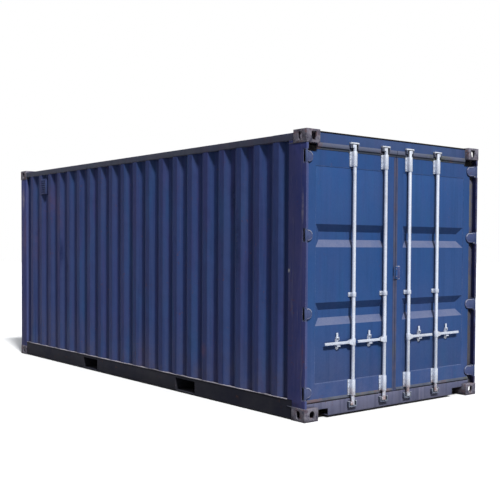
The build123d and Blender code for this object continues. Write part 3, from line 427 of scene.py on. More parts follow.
def galvanised_finish(name):
    """Zinc coat with a faint spangle, dull stains, rust creeping up from the low ends and painted
    shade in corners.
    """
    n = Nodes(name)
    dull, bright = ZINC
    cells = n.new("ShaderNodeTexVoronoi", feature="F1")
    n.plug_all(cells, Vector=n.object, Scale=110.0)
    spangle = cells.outputs["Distance"]
    colour = n.mix(n.ramp(spangle, 0.1, 0.7), bright, dull)
    colour = n.mix(n.patches((7, 5, 0.7), 0.52, 0.7, 0, 0.45), colour, ZINC_CLOUD)
    creeping = n.times(n.ramp(n.axis("Z"), *ROD_RUST), n.patches((16, 5, 0.7), 0.44, 0.60))
    colour = n.mix(n.times(creeping, 0.75), colour, ZINC_RUST)
    colour = n.mix(n.times(n.patches((23, 5, 0.7), 0.6, 0.66), 0.25), colour, ZINC_STAIN)
    # Painted shade in corners
    colour = n.mix(n.ramp(n.corners(0.03), 0.35, 0.9, 0, 0.6), colour, ZINC_CORNER_SHADE)
    roughness = n.ramp(spangle, 0, 0.8, 0.38, 0.55)
    return n.surface(colour, roughness, n.noise(160, 3), 0.15, 0.001, metallic=0.25, specular=0.4)


def keeper_finish(name):
    """Zinc that was painted over with the frame: bare only on top, which also makes a painted
    highlight, and painted shade in the hollows at the cams.
    """
    n = Nodes(name)
    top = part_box("cam_keepers")[1].z
    colour = n.mix(n.patches((11, 5, 0.7), 0.40, 0.62), *KEEPER_GREY)
    # Bare zinc on faces that look up and along the top rim, which is also a painted highlight
    up = n.ramp(n.facing((0, 0, 1)), 0.3, 0.8)
    colour = n.mix(n.times(up, n.patches((15, 4), 0.25, 0.5, 0.5, 1.0)), colour, ZINC[1])
    top_rim_highlight = n.ramp(n.axis("Z"), top - 0.017, top - 0.010)
    colour = n.mix(n.times(top_rim_highlight, n.patches((19, 4), 0.3, 0.5, 0.4, 1.0)), colour, ZINC[1])
    colour = n.mix(n.patches((17, 6, 0.75), 0.54, 0.62, 0, 0.7), colour, KEEPER_STAIN)
    edge_wear = n.times(n.edges(0.003), n.patches((31, 4), 0.40, 0.55, 0, 0.9))
    colour = n.mix(edge_wear, colour, ZINC[1])
    # Painted shade in the keepers' hollows
    colour = n.mix(n.ramp(n.corners(0.05), 0.25, 0.75), colour, KEEPER_CORNER_SHADE)
    return n.surface(colour, 0.55, n.noise(120, 4), 0.3, 0.001, metallic=0.1, specular=0.3)


def rubber_finish(name, colours, growth=0.5, marks=(), lip=None):
    """Weathered rubber with dust, green growth and reddish stains, painted light on an upper lip
    and painted shade under it.
    """
    n = Nodes(name)
    colour = n.mix(n.patches((6, 5, 0.7), 0.35, 0.65), *colours)
    if lip is not None:
        # Painted light on the upper lip and painted shade below it
        upper = n.ramp(n.axis("Z"), lip - 0.003, lip + 0.003)
        under = n.math("SUBTRACT", n.ramp(n.axis("Z"), lip - 0.4, lip - 0.3), upper)
        colour = n.mix(n.times(upper, 0.75), colour, UPPER_LIP_LIGHT)
        colour = n.mix(n.times(under, 0.70), colour, UNDER_LIP_SHADE)
    colour = n.mix(n.patches((2.3, 4, 0.7), 0.53, 0.64, 0, growth), colour, OLIVE_GROWTH)
    colour = n.mix(n.patches((4.1, 5, 0.7), 0.53, 0.63, 0, growth), colour, RED_STAIN)
    colour = n.marked(colour, marks)
    roughness = n.patches((30, 3), 0.3, 0.7, 0.6, 0.9)
    return n.surface(colour, roughness, n.noise(90, 4, 0.7), 0.3, 0.001)


def underframe_finish(name):
    """Thick dark underbody coating, with road dust on its ledges, which is also a painted highlight
    there, and rust.
    """
    n = Nodes(name)
    colour = n.mix(n.patches((2.2, 6, 0.65), 0.35, 0.7), *UNDERFRAME_BLACK)
    # Road dust on the tops of the rails, which also stands in for painted light on them
    top = n.times(n.ramp(n.facing((0, 0, 1)), 0.5, 0.95), n.ramp(n.axis("Z"), *RAIL_TOP))
    colour = n.mix(n.times(top, n.patches((7, 5, 0.7), 0.3, 0.6, 0.45, 1.0)), colour, ROAD_DUST_AND_LIGHT)
    rust = n.times(n.patches((12, 6, 0.75), 0.60, 0.68), 0.55)
    colour = n.mix(rust, colour, UNDERFRAME_RUST)
    edge = n.times(n.edges(0.006), n.patches((6, 5, 0.7), 0.40, 0.60, 0.0, 0.9))
    colour = n.mix(n.times(edge, 0.4), colour, UNDERFRAME_BARE)
    relief = n.math("ADD", n.noise(70, 5, 0.7), n.times(rust, -0.8))
    return n.surface(colour, 0.72, relief, 0.4)


def ledge_finish(name):
    """Rubbed, dusty coating along the ledge at the foot of the side walls, its pale colour also a
    painted highlight.
    """
    n = Nodes(name)
    colour = n.mix(n.patches((5, 5, 0.7), 0.3, 0.65), *LEDGE_DUST_AND_LIGHT)
    colour = n.mix(n.patches((2.1, 4, 0.6), 0.52, 0.64, 0, 0.8), colour, LEDGE_SHADE)
    roughness = n.patches((30, 3), 0.3, 0.7, 0.6, 0.85)
    return n.surface(colour, roughness, n.noise(90, 4, 0.7), 0.3, 0.001)


def plywood_finish(name):
    """Oiled plywood with grain along the container and dark forklift scuffs."""
    n = Nodes(name)
    grain = n.streaks((1.6, 46, 46), 6, 0.65)
    colour = n.mix(n.ramp(grain, 0.3, 0.7), *PLYWOOD)
    scuffs = n.ramp(n.streaks((0.9, 7, 1), 5, 0.7), 0.5, 0.66, 0, 0.6)
    colour = n.mix(scuffs, colour, FLOOR_SCUFF)
    return n.surface(colour, n.ramp(grain, 0.3, 0.7, 0.75, 0.5), grain, 0.3, 0.001)


def floor_finish(name):
    """Plain pale ground that keeps the shadow but lights the container only a little."""
    n = Nodes(name)
    rays = n.new("ShaderNodeLightPath").outputs
    seen = n.math("MAXIMUM", rays["Is Camera Ray"], rays["Is Glossy Ray"])
    pale = n.mix(n.patches((0.8, 3), 0.3, 0.7, *FLOOR_PALE), (0, 0, 0), (1, 1, 1))
    colour = n.mix(seen, FLOOR_GLOW, pale)
    return n.surface(colour, 0.9, n.noise(30, 2), 0.02, 0.001, specular=0.0)


def sky_finish(name):
    """White where the camera sees it. As light it is dim, and brightest beyond the container."""
    n = Nodes(name, world=True)
    rays = n.new("ShaderNodeLightPath").outputs
    seen = n.math("MAXIMUM", rays["Is Camera Ray"], rays["Is Glossy Ray"])
    seen = n.math("MAXIMUM", seen, rays["Is Transmission Ray"])
    toward = n.vector("DOT_PRODUCT", n.coordinates["Generated"], BACK_SKY_DIRECTION.normalized())
    strength = n.ramp(toward["Value"], *BACK_SKY_SPREAD, SKY_STRENGTH, BACK_SKY_STRENGTH)
    soft = n.new("ShaderNodeBackground")
    n.plug_all(soft, Color=SKY_COLOUR, Strength=strength)
    white = n.new("ShaderNodeBackground")
    n.plug_all(white, Color=(1, 1, 1), Strength=1)
    blend = n.new("ShaderNodeMixShader")
    for index, value in enumerate((seen, soft.outputs[0], white.outputs[0])):
        n.plug(value, blend.inputs[index])
    n.plug(blend.outputs[0], n.output)
    return n.owner


SIDE_WEAR = dict(
    fade=0.6, streaks=0.7, chips=0.8, worn_edges=0.3, waves=0.9, far=SIDE_FAR, foot=SIDE_FOOT,
    marks=LEFT_MARKS
)
side_paint = paint("side_paint", SIDE_BLUE, **SIDE_WEAR)
wall_paint = paint("wall_paint", SIDE_BLUE, corrugated=True, **SIDE_WEAR)
header_paint = paint("header_paint", HEADER_BLUE, fade=0.7, streaks=0.4, chips=0.4, corner_shade=0.4)
door_paint = paint(
    "door_paint", DOOR_BLUE, fade=0.8, streaks=0.4, chips=0.25, corner_shade=0.6, dust=DOOR_DUST_AND_LIGHT,
    foot=DOOR_FOOT, scrape=BLUE_SCRAPE, marks=PLATE_MARKS
)
hinge_paint = paint(
    "hinge_paint", HINGE_BLUE, fade=1.0, streaks=0.3, chips=0.7, corner_shade=0.9, worn_edges=1.0,
    dust=DOOR_DUST_AND_LIGHT
)
rail_paint = paint(
    "rail_paint", RAIL_BLUE, fade=0.8, streaks=0.4, chips=0.8, corner_shade=0.3, worn_edges=0.8
)
post_paint = scraped_paint("post_paint", POST_BLUE, 0.5, front=POST_FRONT, marks=POST_MARKS)
sill_paint = scraped_paint("sill_paint", SILL_BLUE, 0.5)
rib_paint = scraped_paint("rib_paint", RIB_HIGHLIGHT_BLUE, 0.8)
casting_paint = casting_finish("casting_paint")
galvanised = galvanised_finish("galvanised_steel")
keeper_steel = keeper_finish("keeper_steel")
gasket_rubber = rubber_finish("gasket_rubber", RUBBER, growth=0.7, lip=GASKET_UPPER_LIP)
seam_rubber = rubber_finish("seam_rubber", SEAM_RUBBER, growth=0.25, marks=PLATE_MARKS)
# Black rubber for the dark sheets that give painted shadow
black_rubber = rubber_finish("black_rubber", SHADOW_BLACK_RUBBER, growth=0.1)
underframe_paint = underframe_finish("underframe_paint")
ledge_dust = ledge_finish("ledge_dust")
floor_plywood = plywood_finish("floor_plywood")

SLOT_FINISH = {
    "container_paint": side_paint,
    "door_paint": door_paint,
    "casting_paint": casting_paint,
    "underframe_paint": underframe_paint,
    "galvanised_steel": galvanised,
    "gasket_rubber": gasket_rubber,
    "floor_plywood": floor_plywood,
}
NODE_FINISH = {
    "left_side_wall": wall_paint,
    "right_side_wall": wall_paint,
    "left_door_post": post_paint,
    "right_door_post": post_paint,
    "front_posts": post_paint,
    "hinge_lugs": hinge_paint,
    "left_hinge_blades": hinge_paint,
    "right_hinge_blades": hinge_paint,
    "cam_keepers": keeper_steel,
    "top_side_rails": rail_paint,
    "door_header": header_paint,
    "door_sill": sill_paint,
}

# Edges: bevel widths of CAD nodes that differ from the usual one, and the angles that are sharp
BEVEL_WIDTHS = {
    "top_door_castings": 0.006,
    "top_front_castings": 0.006,
    "bottom_corner_castings": 0.006,
    "bottom_side_rails": 0.004,
    "left_hinge_blades": 0.003,
    "right_hinge_blades": 0.003,
    "door_header": 0.004,
    "door_sill": 0.0025,
    "top_side_rails": 0.004,
    "left_door_frame": 0.0,
    "right_door_frame": 0.0,
    "left_side_wall": 0.0,
    "right_side_wall": 0.0,
    "front_wall": 0.0,
    "roof_panel": 0.0,
    "roof_end_plates": 0.0,
    "roof_corner_plates": 0.001,
    "vents": 0.001,
    "floor_boards": 0.002,
}
USUAL_BEVEL = 0.0015
BEVEL_ANGLE = math.radians(40)
SMOOTH_ANGLE = math.radians(24)
WELD_DISTANCE = 0.00001


def edge_shading():
    """A geometry node group that smooths a mesh except at its sharp edges."""
    group = bpy.data.node_groups.new("edge_shading", "GeometryNodeTree")
    for way in ("INPUT", "OUTPUT"):
        group.interface.new_socket("Geometry", in_out=way, socket_type="NodeSocketGeometry")
    new, link = group.nodes.new, group.links.new
    start, end = new("NodeGroupInput"), new("NodeGroupOutput")
    faces, edges = new("GeometryNodeSetShadeSmooth"), new("GeometryNodeSetShadeSmooth")
    faces.domain, edges.domain = "FACE", "EDGE"
    edges.inputs["Shade Smooth"].default_value = False
    angle = new("GeometryNodeInputMeshEdgeAngle")
    sharp = new("FunctionNodeCompare")
    sharp.operation = "GREATER_THAN"
    sharp.inputs["B"].default_value = SMOOTH_ANGLE
    link(start.outputs[0], faces.inputs["Geometry"])
    link(faces.outputs[0], edges.inputs["Geometry"])
    link(angle.outputs["Unsigned Angle"], sharp.inputs["A"])
    link(sharp.outputs[0], edges.inputs["Selection"])
    link(edges.outputs[0], end.inputs[0])
    return group


SHADING = edge_shading()


def soften(piece, width):
    """Merge a mesh's doubled points, round its sharp edges and smooth the rest."""
    piece.modifiers.new("weld", "WELD").merge_threshold = WELD_DISTANCE
    if width:
        bevel = piece.modifiers.new("rounded_edges", "BEVEL")
        bevel.width = width
        bevel.segments = 2
        bevel.limit_method = "ANGLE"
        bevel.angle_limit = BEVEL_ANGLE
    piece.modifiers.new("edge_shading", "NODES").node_group = SHADING


slots = {part["node"]: part["material_slot"] for part in frame["record"]["subparts"]}
for node_name, node in frame["nodes"].items():
    finish = NODE_FINISH.get(node_name) or SLOT_FINISH[slots[node_name]]
    node.data.materials.clear()
    node.data.materials.append(finish)
    soften(node, BEVEL_WIDTHS.get(node_name, USUAL_BEVEL))


def mesh_of(name, build):
    """A mesh made by a function that fills a bmesh."""
    shape = bmesh.new()
    build(shape)
    bmesh.ops.recalc_face_normals(shape, faces=shape.faces)
    mesh = bpy.data.meshes.new(name)
    shape.to_mesh(mesh)
    shape.free()
    return mesh


def add_object(name, data):
    """A new object in the scene."""
    item = bpy.data.objects.new(name, data)
    scene.collection.objects.link(item)
    return item


def add_piece(name, build, body, finish, width=0.0):
    """Put a piece made by a build function on its body and finish."""
    mesh = mesh_of(name, build)
    mesh.materials.append(finish)
    piece = add_object(name, mesh)
    soften(piece, width)
    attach(piece, body)


# Directions
FORWARD = (1, 0, 0)
UPWARD = (0, 0, 1)
DOWNWARD = (0, 0, -1)

# Profiles of round pieces as (radius, height), in shares of a size except for the screws'
WASHER = ((1.05, 0), (1.05, 0.10), (0.98, 0.16))
BOLT_HEAD = ((0.86, 0.16), (0.86, 0.66), (0.72, 0.76))
RIVET_DOME = ((1, 0), (0.94, 0.22), (0.72, 0.42), (0.35, 0.53))
SCREW_HEAD = ((0.0065, 0), (0.005, 0.0012))
WASHER_SIDES = 20
RIVET_SIDES = 12
SCREW_SIDES = 10

# Weld beads: the points of their section, its height, and their ripples
BEAD_ANGLES = (0, 45, 90, 135, 180)
BEAD_FLATNESS = 0.7
BEAD_RIPPLE = 0.16
BEAD_WAVE = 2.4
BEAD_JITTER = 0.1


def aimed(place, direction, spin=0.0):
    """A matrix that puts local +Z along a direction at a place."""
    turn = Vector(direction).to_track_quat("Z", "Y").to_matrix().to_4x4()
    return Matrix.Translation(place) @ turn @ Matrix.Rotation(spin, 4, "Z")


def join_rings(shape, rings):
    """Faces between closed rings of points, from each ring to the next."""
    for low, high in zip(rings, rings[1:]):
        for index in range(len(low)):
            after = (index + 1) % len(low)
            shape.faces.new((low[index], low[after], high[after], high[index]))


def add_lathe(shape, matrix, profile, sides, size=1):
    """Turn a profile of (radius, height) points, times a size, round the matrix's Z axis."""
    rings = []
    for radius, height in profile:
        radius, height = size * radius, size * height
        ring = []
        for index in range(sides):
            angle = 2 * math.pi * index / sides
            point = Vector((radius * math.cos(angle), radius * math.sin(angle), height))
            ring.append(shape.verts.new(matrix @ point))
        rings.append(ring)
    join_rings(shape, rings)
    shape.faces.new(list(reversed(rings[0])))
    shape.faces.new(rings[-1])


def add_bolt(shape, place, direction, size):
    """A hexagon bolt head with a chamfered top on a round washer."""
    matrix = aimed(place, direction, random.uniform(0, math.pi / 3))
    add_lathe(shape, matrix, WASHER, WASHER_SIDES, size)
    add_lathe(shape, matrix, BOLT_HEAD, 6, size)


def add_rivet(shape, place, direction, size):
    """A domed rivet head."""
    add_lathe(shape, aimed(place, direction), RIVET_DOME, RIVET_SIDES, size)


def add_bead(shape, start, end, out, radius, step=0.012, ripple=1.0):
    """A weld bead from start to end: a rippled half round ridge that stands out of a surface."""
    start, end, out = Vector(start), Vector(end), Vector(out).normalized()
    along = (end - start).normalized()
    across = out.cross(along).normalized()
    count = max(2, round((end - start).length / step))
    rows = []
    for index in range(count + 1):
        centre = start.lerp(end, index / count)
        wave = BEAD_RIPPLE * math.sin(BEAD_WAVE * index)
        uneven = wave + random.uniform(-BEAD_JITTER, BEAD_JITTER)
        swell = radius * (1 + ripple * uneven)
        row = []
        for angle in BEAD_ANGLES:
            turn = math.radians(angle)
            rise = out * swell * BEAD_FLATNESS * math.sin(turn)
            row.append(shape.verts.new(centre + across * swell * math.cos(turn) + rise))
        rows.append(row)
    join_rings(shape, rows)
    shape.faces.new(rows[0])
    shape.faces.new(rows[-1])


def add_prism(shape, outline, axis, low, high):
    """Extrude a closed outline of two coordinates along an axis, 0 to 2."""
    rings = []
    for level in (low, high):
        ring = []
        for pair in outline:
            point = list(pair)
            point.insert(axis, level)
            ring.append(shape.verts.new(point))
        rings.append(ring)
    join_rings(shape, rings)
    shape.faces.new(rings[0])
    shape.faces.new(list(reversed(rings[1])))


def rectangle(near, far, low, high):
    """The outline of an upright rectangle."""
    return [(near, low), (far, low), (far, high), (near, high)]


# Sizes of the CAD model that the added pieces follow
KEEPER_WALL = 0.012
KEEPER_HEIGHT = 0.052
KEEPER_HALF_OPENING = 0.040
HINGE_SHARES = (0.038, 0.349, 0.656, 0.963)
HINGE_INSET = 0.014
HINGE_HALF_STACK = 0.062
HINGE_BLADE = 0.010
HUB_RADIUS = 0.023
GUIDE_BASE = 0.008
SHORT_GUIDE_STEP = 0.003
GUIDE_HALF_WIDTH = 0.044
GUIDE_LOW_HEIGHT = 0.145
GUIDE_HIGH_HEIGHT = 0.138
SHORT_GUIDE_SHARE = 0.418
FRONT_POST_SIDE = 0.178

# Sizes of the added pieces
GUTTER_SECTION = (
    (-0.004, -0.010),
    (0.004, -0.009),
    (0.005, -0.001),
    (0.001, 0.002),
    (-0.004, 0.002),
)
WELL_DEPTH = 0.0008
HINGE_CAP = 0.009
WALL_FOOT_BEAD = 0.006
CASTING_BEAD = 0.004
RAIL_BEAD = 0.003
POST_FACE_BEAD = 0.003
POST_FACE_BEAD_LENGTH = 0.024
ROOF_BEAD = 0.003
LONG_STEP = 0.02
SCREW_PITCH_X = 0.300
SCREW_PITCH_Y = 0.155
LIP_ROOT = 0.006
GASKET_LIP = 0.020
NOTCH_LIP = 0.003
LIP_INSET = 0.001
SEAM_GAP = 0.0005
LIP_CLEARANCE = 0.006
KEEPER_CUT = 0.058
CORNER_SHADOW_FLAP_HEIGHT = 0.049
PANEL_INSET = 0.0015
PANEL_END_GAP = 0.002
PANEL_CROSS_BEAD = 0.004
PANEL_UPRIGHT_BEAD = 0.0025
RIB_BEAD = 0.0045
RIB_KINK = (0.021, 0.083)
RIB_BEND = 0.052
RIB_REACH = 0.046
RIB_HALF_HEIGHT = 0.044
RIB_TURNS = (75, 55, 35, 18)
GUIDE_BOLT = 0.007
SHORT_GUIDE_BOLT = 0.006
GUIDE_BOLT_OFFSET = 0.034
GUIDE_BOLT_SHARES = (0.16, 0.5, 0.84)
PLATE_ROOT = 0.032
PLATE_ROOT_SLOPE = 0.006
PLATE_BEAD = 0.005
PLATE_SIDE_BEAD = 0.004
PLATE_BOLT = 0.007
PLATE_BOLT_OFFSET = 0.036

SIDES = (("left", -1), ("right", 1))
high_bound = Vector(cad_bounds[1])
header_low, header_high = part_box("door_header")
header_face = header_high.x
header_half_width = abs(header_low.y)
leaf_low, leaf_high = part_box("left_door_frame")
leaf_face = leaf_high.x
plate_low, plate_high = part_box("overlap_plate")
guides_low, guides_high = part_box("left_rod_guides")
rail_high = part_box("bottom_side_rails")[1]
top_rail_low, top_rail_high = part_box("top_side_rails")
post_low, post_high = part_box("left_door_post")
front_post_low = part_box("front_posts")[0]
casting_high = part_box("bottom_corner_castings")[1]
top_casting_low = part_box("top_door_castings")[0]
roof_low, roof_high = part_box("roof_panel")
boards_low, boards_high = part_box("floor_boards")

hinge_middles = [leaf_low.z + share * (leaf_high.z - leaf_low.z) for share in HINGE_SHARES]
short_guide_middle = leaf_low.z + SHORT_GUIDE_SHARE * (leaf_high.z - leaf_low.z)
guide_bolt_heights = [guides_low.z + GUIDE_LOW_HEIGHT * share for share in GUIDE_BOLT_SHARES]
guide_bolt_heights += [guides_high.z - GUIDE_HIGH_HEIGHT * share for share in GUIDE_BOLT_SHARES]


def rod_lines(side, sign):
    """Where the outer and the inner rod of a door stand across the container."""
    lines = []
    for rod in ("outer", "inner"):
        rod_low, rod_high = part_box(f"{side}_{rod}_rod")
        lines.append(sign * (min(abs(rod_low.y), abs(rod_high.y)) + HUB_RADIUS))
    return lines


def header_shadow_gutter(shape):
    """The dark sealed strip along the top edge of the header, which also stands in for painted
    shadow there.
    """
    outline = [(header_face + x, header_high.z + z) for x, z in GUTTER_SECTION]
    add_prism(shape, outline, 1, header_low.y, header_high.y)


def keeper_shadow_sheets(shape):
    """Dark sheets inside the cam keepers: painted shade in their hollows."""
    keeper_low, keeper_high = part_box("cam_keepers")
    wells = (
        (keeper_low.z + KEEPER_WALL, keeper_low.z + KEEPER_HEIGHT),
        (keeper_high.z - KEEPER_HEIGHT, keeper_high.z - KEEPER_WALL),
    )
    for side, sign in SIDES:
        for rod_y in rod_lines(side, sign):
            for well in wells:
                near, far = rod_y - KEEPER_HALF_OPENING, rod_y + KEEPER_HALF_OPENING
                outline = rectangle(near, far, *well)
                add_prism(shape, outline, 0, header_face, header_face + WELL_DEPTH)


def hinge_caps(shape):
    """The heads of the hinge pins above and below their lugs."""
    x = high_bound.x - HINGE_INSET
    for middle in hinge_middles:
        for sign in (-1, 1):
            y = sign * (high_bound.y - HINGE_INSET)
            add_rivet(shape, (x, y, middle + HINGE_HALF_STACK), UPWARD, HINGE_CAP)
            add_rivet(shape, (x, y, middle - HINGE_HALF_STACK), DOWNWARD, HINGE_CAP)


def wall_feet(shape):
    """The rounded ridge of old sealant and dust along the ledge under each side wall, pale also as
    a painted highlight.
    """
    for sign in (-1, 1):
        y = sign * (rail_high.y - 0.001)
        start = (front_post_low.x + FRONT_POST_SIDE, y, rail_high.z)
        end = (post_low.x - 0.002, y, rail_high.z)
        add_bead(shape, start, end, (0, 0.5 * sign, 0.9), WALL_FOOT_BEAD, LONG_STEP, 0.5)


def frame_welds(shape):
    """Weld beads where the posts, the rails and the header meet the corner castings."""
    front_post = (front_post_low.x, front_post_low.x + FRONT_POST_SIDE)
    for sign in (-1, 1):
        outward = (0, sign, 0)
        y = sign * abs(post_low.y)
        inner_y = y - sign * POST_FACE_BEAD_LENGTH
        for z in (casting_high.z, top_casting_low.z):
            for near, far in ((post_low.x, post_high.x), front_post):
                add_bead(shape, (near, y, z), (far, y, z), outward, CASTING_BEAD)
            start, end = (post_high.x, inner_y, z), (post_high.x, y, z)
            add_bead(shape, start, end, FORWARD, POST_FACE_BEAD)
        for x in (-top_casting_low.x, top_casting_low.x):
            rail_end = (x, sign * top_rail_high.y)
            start, end = (*rail_end, top_rail_low.z), (*rail_end, top_rail_high.z)
            add_bead(shape, start, end, outward, RAIL_BEAD)
        header_end = (header_face, sign * header_half_width)
        start, end = (*header_end, top_casting_low.z), (*header_end, header_high.z)
        add_bead(shape, start, end, FORWARD, CASTING_BEAD)


def roof_welds(shape):
    """The long weld beads along both edges of the roof sheet."""
    z = roof_low.z + 0.002
    for sign in (-1, 1):
        y = sign * (roof_high.y - 0.003)
        add_bead(shape, (roof_low.x, y, z), (roof_high.x, y, z), UPWARD, ROOF_BEAD, LONG_STEP)


def floor_screws(shape):
    """Flush screw heads through the floor boards into the cross members."""
    rows = round((boards_high.x - boards_low.x) / SCREW_PITCH_X)
    columns = round((boards_high.y - boards_low.y) / SCREW_PITCH_Y)
    for row in range(rows):
        x = boards_low.x + (row + 0.5) * (boards_high.x - boards_low.x) / rows
        for column in range(columns):
            y = boards_low.y + (column + 0.5) * (boards_high.y - boards_low.y) / columns
            matrix = aimed((x, y, boards_high.z), UPWARD)
            add_lathe(shape, matrix, SCREW_HEAD, SCREW_SIDES)


def lip_section(tip, edge, front):
    """A lip's closed section as (x, across): from its tip in the gap over the leaf's edge."""
    root = leaf_face - LIP_ROOT
    return [(root, tip), *front, (leaf_face, edge), (root, edge)]


def low_lip(tip, edge, outward, reach):
    """The section of a flat lip."""
    front = [
        (leaf_face - 0.001, tip),
        (leaf_face + 0.0036, edge + 0.003 * outward),
        (leaf_face + 0.0042, edge - 0.15 * reach * outward),
        (leaf_face + 0.0024, edge - 0.42 * reach * outward),
        (leaf_face + 0.0038, edge - 0.58 * reach * outward),
        (leaf_face + 0.0032, edge - 0.92 * reach * outward),
        (leaf_face, edge - reach * outward),
    ]
    return lip_section(tip, edge, front)


def bulging_lip(tip, edge, outward, reach):
    """The section of a swollen lip, which stands out past the header's face."""
    front = [
        (leaf_face + 0.006, tip),
        (leaf_face + 0.010, tip - 0.005 * outward),
        (leaf_face + 0.011, tip - 0.011 * outward),
        (leaf_face + 0.009, tip - 0.016 * outward),
        (leaf_face + 0.004, tip - 0.026 * outward),
        (leaf_face + 0.003, edge - 0.9 * reach * outward),
        (leaf_face, edge - reach * outward),
    ]
    return lip_section(tip, edge, front)


def raised_lip(tip, edge, outward, reach):
    """The section of a lip that stands in front of the header's lower edge."""
    front = [
        (header_face + 0.0015, tip),
        (header_face + 0.0015, tip + 0.028 * outward),
        (header_face + 0.004, tip + 0.031 * outward),
        (header_face + 0.008, tip + 0.022 * outward),
        (header_face + 0.010, tip + 0.006 * outward),
        (header_face + 0.007, tip - 0.006 * outward),
        (leaf_face + 0.006, tip - 0.016 * outward),
        (leaf_face + 0.003, edge - 0.55 * reach * outward),
        (leaf_face, edge - 0.65 * reach * outward),
    ]
    return lip_section(tip, edge, front)


class Door:
    """The measures of one door, and functions that build the pieces added to it."""

    def __init__(self, side, sign):
        self.side = side
        self.sign = sign
        self.frame_low, self.frame_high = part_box(f"{side}_door_frame")
        self.gasket_low, self.gasket_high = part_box(f"{side}_door_gasket")
        self.panel_low, self.panel_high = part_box(f"{side}_door_panel")
        self.blade_low, self.blade_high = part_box(f"{side}_hinge_blades")
        self.rods = rod_lines(side, sign)
        self.seam_tip = min((self.gasket_low.y, self.gasket_high.y), key=abs) + SEAM_GAP * sign
        self.seam_edge, self.far_edge = sorted((self.frame_low.y, self.frame_high.y), key=abs)

    def add(self, name, build, slot, finish, width=0.0):
        """Add a piece to the door."""
        add_piece(f"{self.side}_{name}", build, f"{self.side}_door", finish, width)

    def seam_lips(self, shape):
        """The gasket's flat outer lip at the seam, open at the overlap plate."""
        low = self.gasket_low.z + LIP_INSET
        high = self.frame_high.z - GASKET_LIP + LIP_INSET
        runs = [(low, high)]
        if self.side == "right":
            runs = [(low, plate_low.z - 0.006), (plate_high.z + 0.004, high)]
        for run in runs:
            section = low_lip(self.seam_tip, self.seam_edge, -self.sign, GASKET_LIP)
            add_prism(shape, section, 2, *run)

    def cross_lips(self, shape):
        """The swollen outer lips over and under the leaf, low at the rod guides and keepers."""
        lip_end = header_half_width - LIP_CLEARANCE
        top_cuts = [self.seam_tip, self.sign * lip_end, self.sign * header_half_width]
        low_cuts = [self.seam_edge + GASKET_LIP * self.sign, self.far_edge]
        for rod_y in self.rods:
            guide_cuts = [rod_y - GUIDE_HALF_WIDTH, rod_y + GUIDE_HALF_WIDTH]
            low_cuts += guide_cuts
            top_cuts += [*guide_cuts, rod_y - KEEPER_CUT, rod_y + KEEPER_CUT]
        for cuts, edge, tip, outward in (
            (top_cuts, self.frame_high.z, self.gasket_high.z - LIP_INSET, 1),
            (low_cuts, self.frame_low.z, self.gasket_low.z + LIP_INSET, -1),
        ):
            cuts.sort()
            for start, end in zip(cuts, cuts[1:]):
                middle = (start + end) / 2
                away = min(abs(middle - rod_y) for rod_y in self.rods)
                if away < GUIDE_HALF_WIDTH:
                    section = low_lip(tip, edge, outward, NOTCH_LIP)
                elif outward < 0 or away < KEEPER_CUT or abs(middle) > lip_end:
                    section = bulging_lip(tip, edge, outward, GASKET_LIP)
                else:
                    section = raised_lip(tip, edge, outward, GASKET_LIP)
                add_prism(shape, section, 1, start, end)

    def corner_shadow_flap(self, shape):
        """A black rubber sheet at the leaf's upper hinge corner: painted shadow of the corner
        casting above it.
        """
        near = self.sign * header_half_width
        far = self.far_edge - LIP_INSET * self.sign
        top = self.gasket_high.z - LIP_INSET
        outline = rectangle(near, far, top - CORNER_SHADOW_FLAP_HEIGHT, top)
        add_prism(shape, outline, 0, leaf_face - 0.002, leaf_face + 0.004)

    def panel_welds(self, shape):
        """The weld beads where the pressed panel meets the frame's rails and stiles."""
        low, high = self.panel_low, self.panel_high
        for z in (low.z + PANEL_INSET, high.z - PANEL_INSET):
            start, end = (high.x, low.y + PANEL_END_GAP, z), (high.x, high.y - PANEL_END_GAP, z)
            add_bead(shape, start, end, FORWARD, PANEL_CROSS_BEAD)
        for y in (low.y + PANEL_INSET, high.y - PANEL_INSET):
            start, end = (high.x, y, low.z + PANEL_END_GAP), (high.x, y, high.z - PANEL_END_GAP)
            add_bead(shape, start, end, FORWARD, PANEL_UPRIGHT_BEAD, LONG_STEP)

    def hinge_ribs(self, shape, up):
        """The forged ribs along the upper or lower edges of the hinge blades."""
        tip = min(abs(self.blade_low.y), abs(self.blade_high.y))
        face = leaf_face + HINGE_BLADE
        height = RIB_HALF_HEIGHT * up
        path = [(face + RIB_KINK[0], tip + RIB_KINK[1], height), (face, tip + RIB_BEND, height)]
        for degrees in RIB_TURNS:
            turn = math.radians(degrees)
            across = tip + RIB_BEND - RIB_REACH * math.cos(turn)
            path.append((face, across, height * math.sin(turn)))
        for middle in hinge_middles:
            points = [Vector((x, self.sign * y, middle + z)) for x, y, z in path]
            for start, end in zip(points, points[1:]):
                add_bead(shape, start, end, (1, -0.3 * self.sign, 0), RIB_BEAD, 0.01, 0.2)

    def upper_hinge_ribs(self, shape):
        self.hinge_ribs(shape, 1)

    def lower_hinge_ribs(self, shape):
        self.hinge_ribs(shape, -1)

    def guide_bolts(self, shape):
        """Bolts of the rod guides: three rows on each long guide and one on the short one."""
        face = leaf_face + GUIDE_BASE
        short_face = leaf_face - SHORT_GUIDE_STEP + GUIDE_BASE
        for rod_y in self.rods:
            for y in (rod_y - GUIDE_BOLT_OFFSET, rod_y + GUIDE_BOLT_OFFSET):
                for z in guide_bolt_heights:
                    add_bolt(shape, (face, y, z), FORWARD, GUIDE_BOLT)
                place = (short_face, y, short_guide_middle)
                add_bolt(shape, place, FORWARD, SHORT_GUIDE_BOLT)


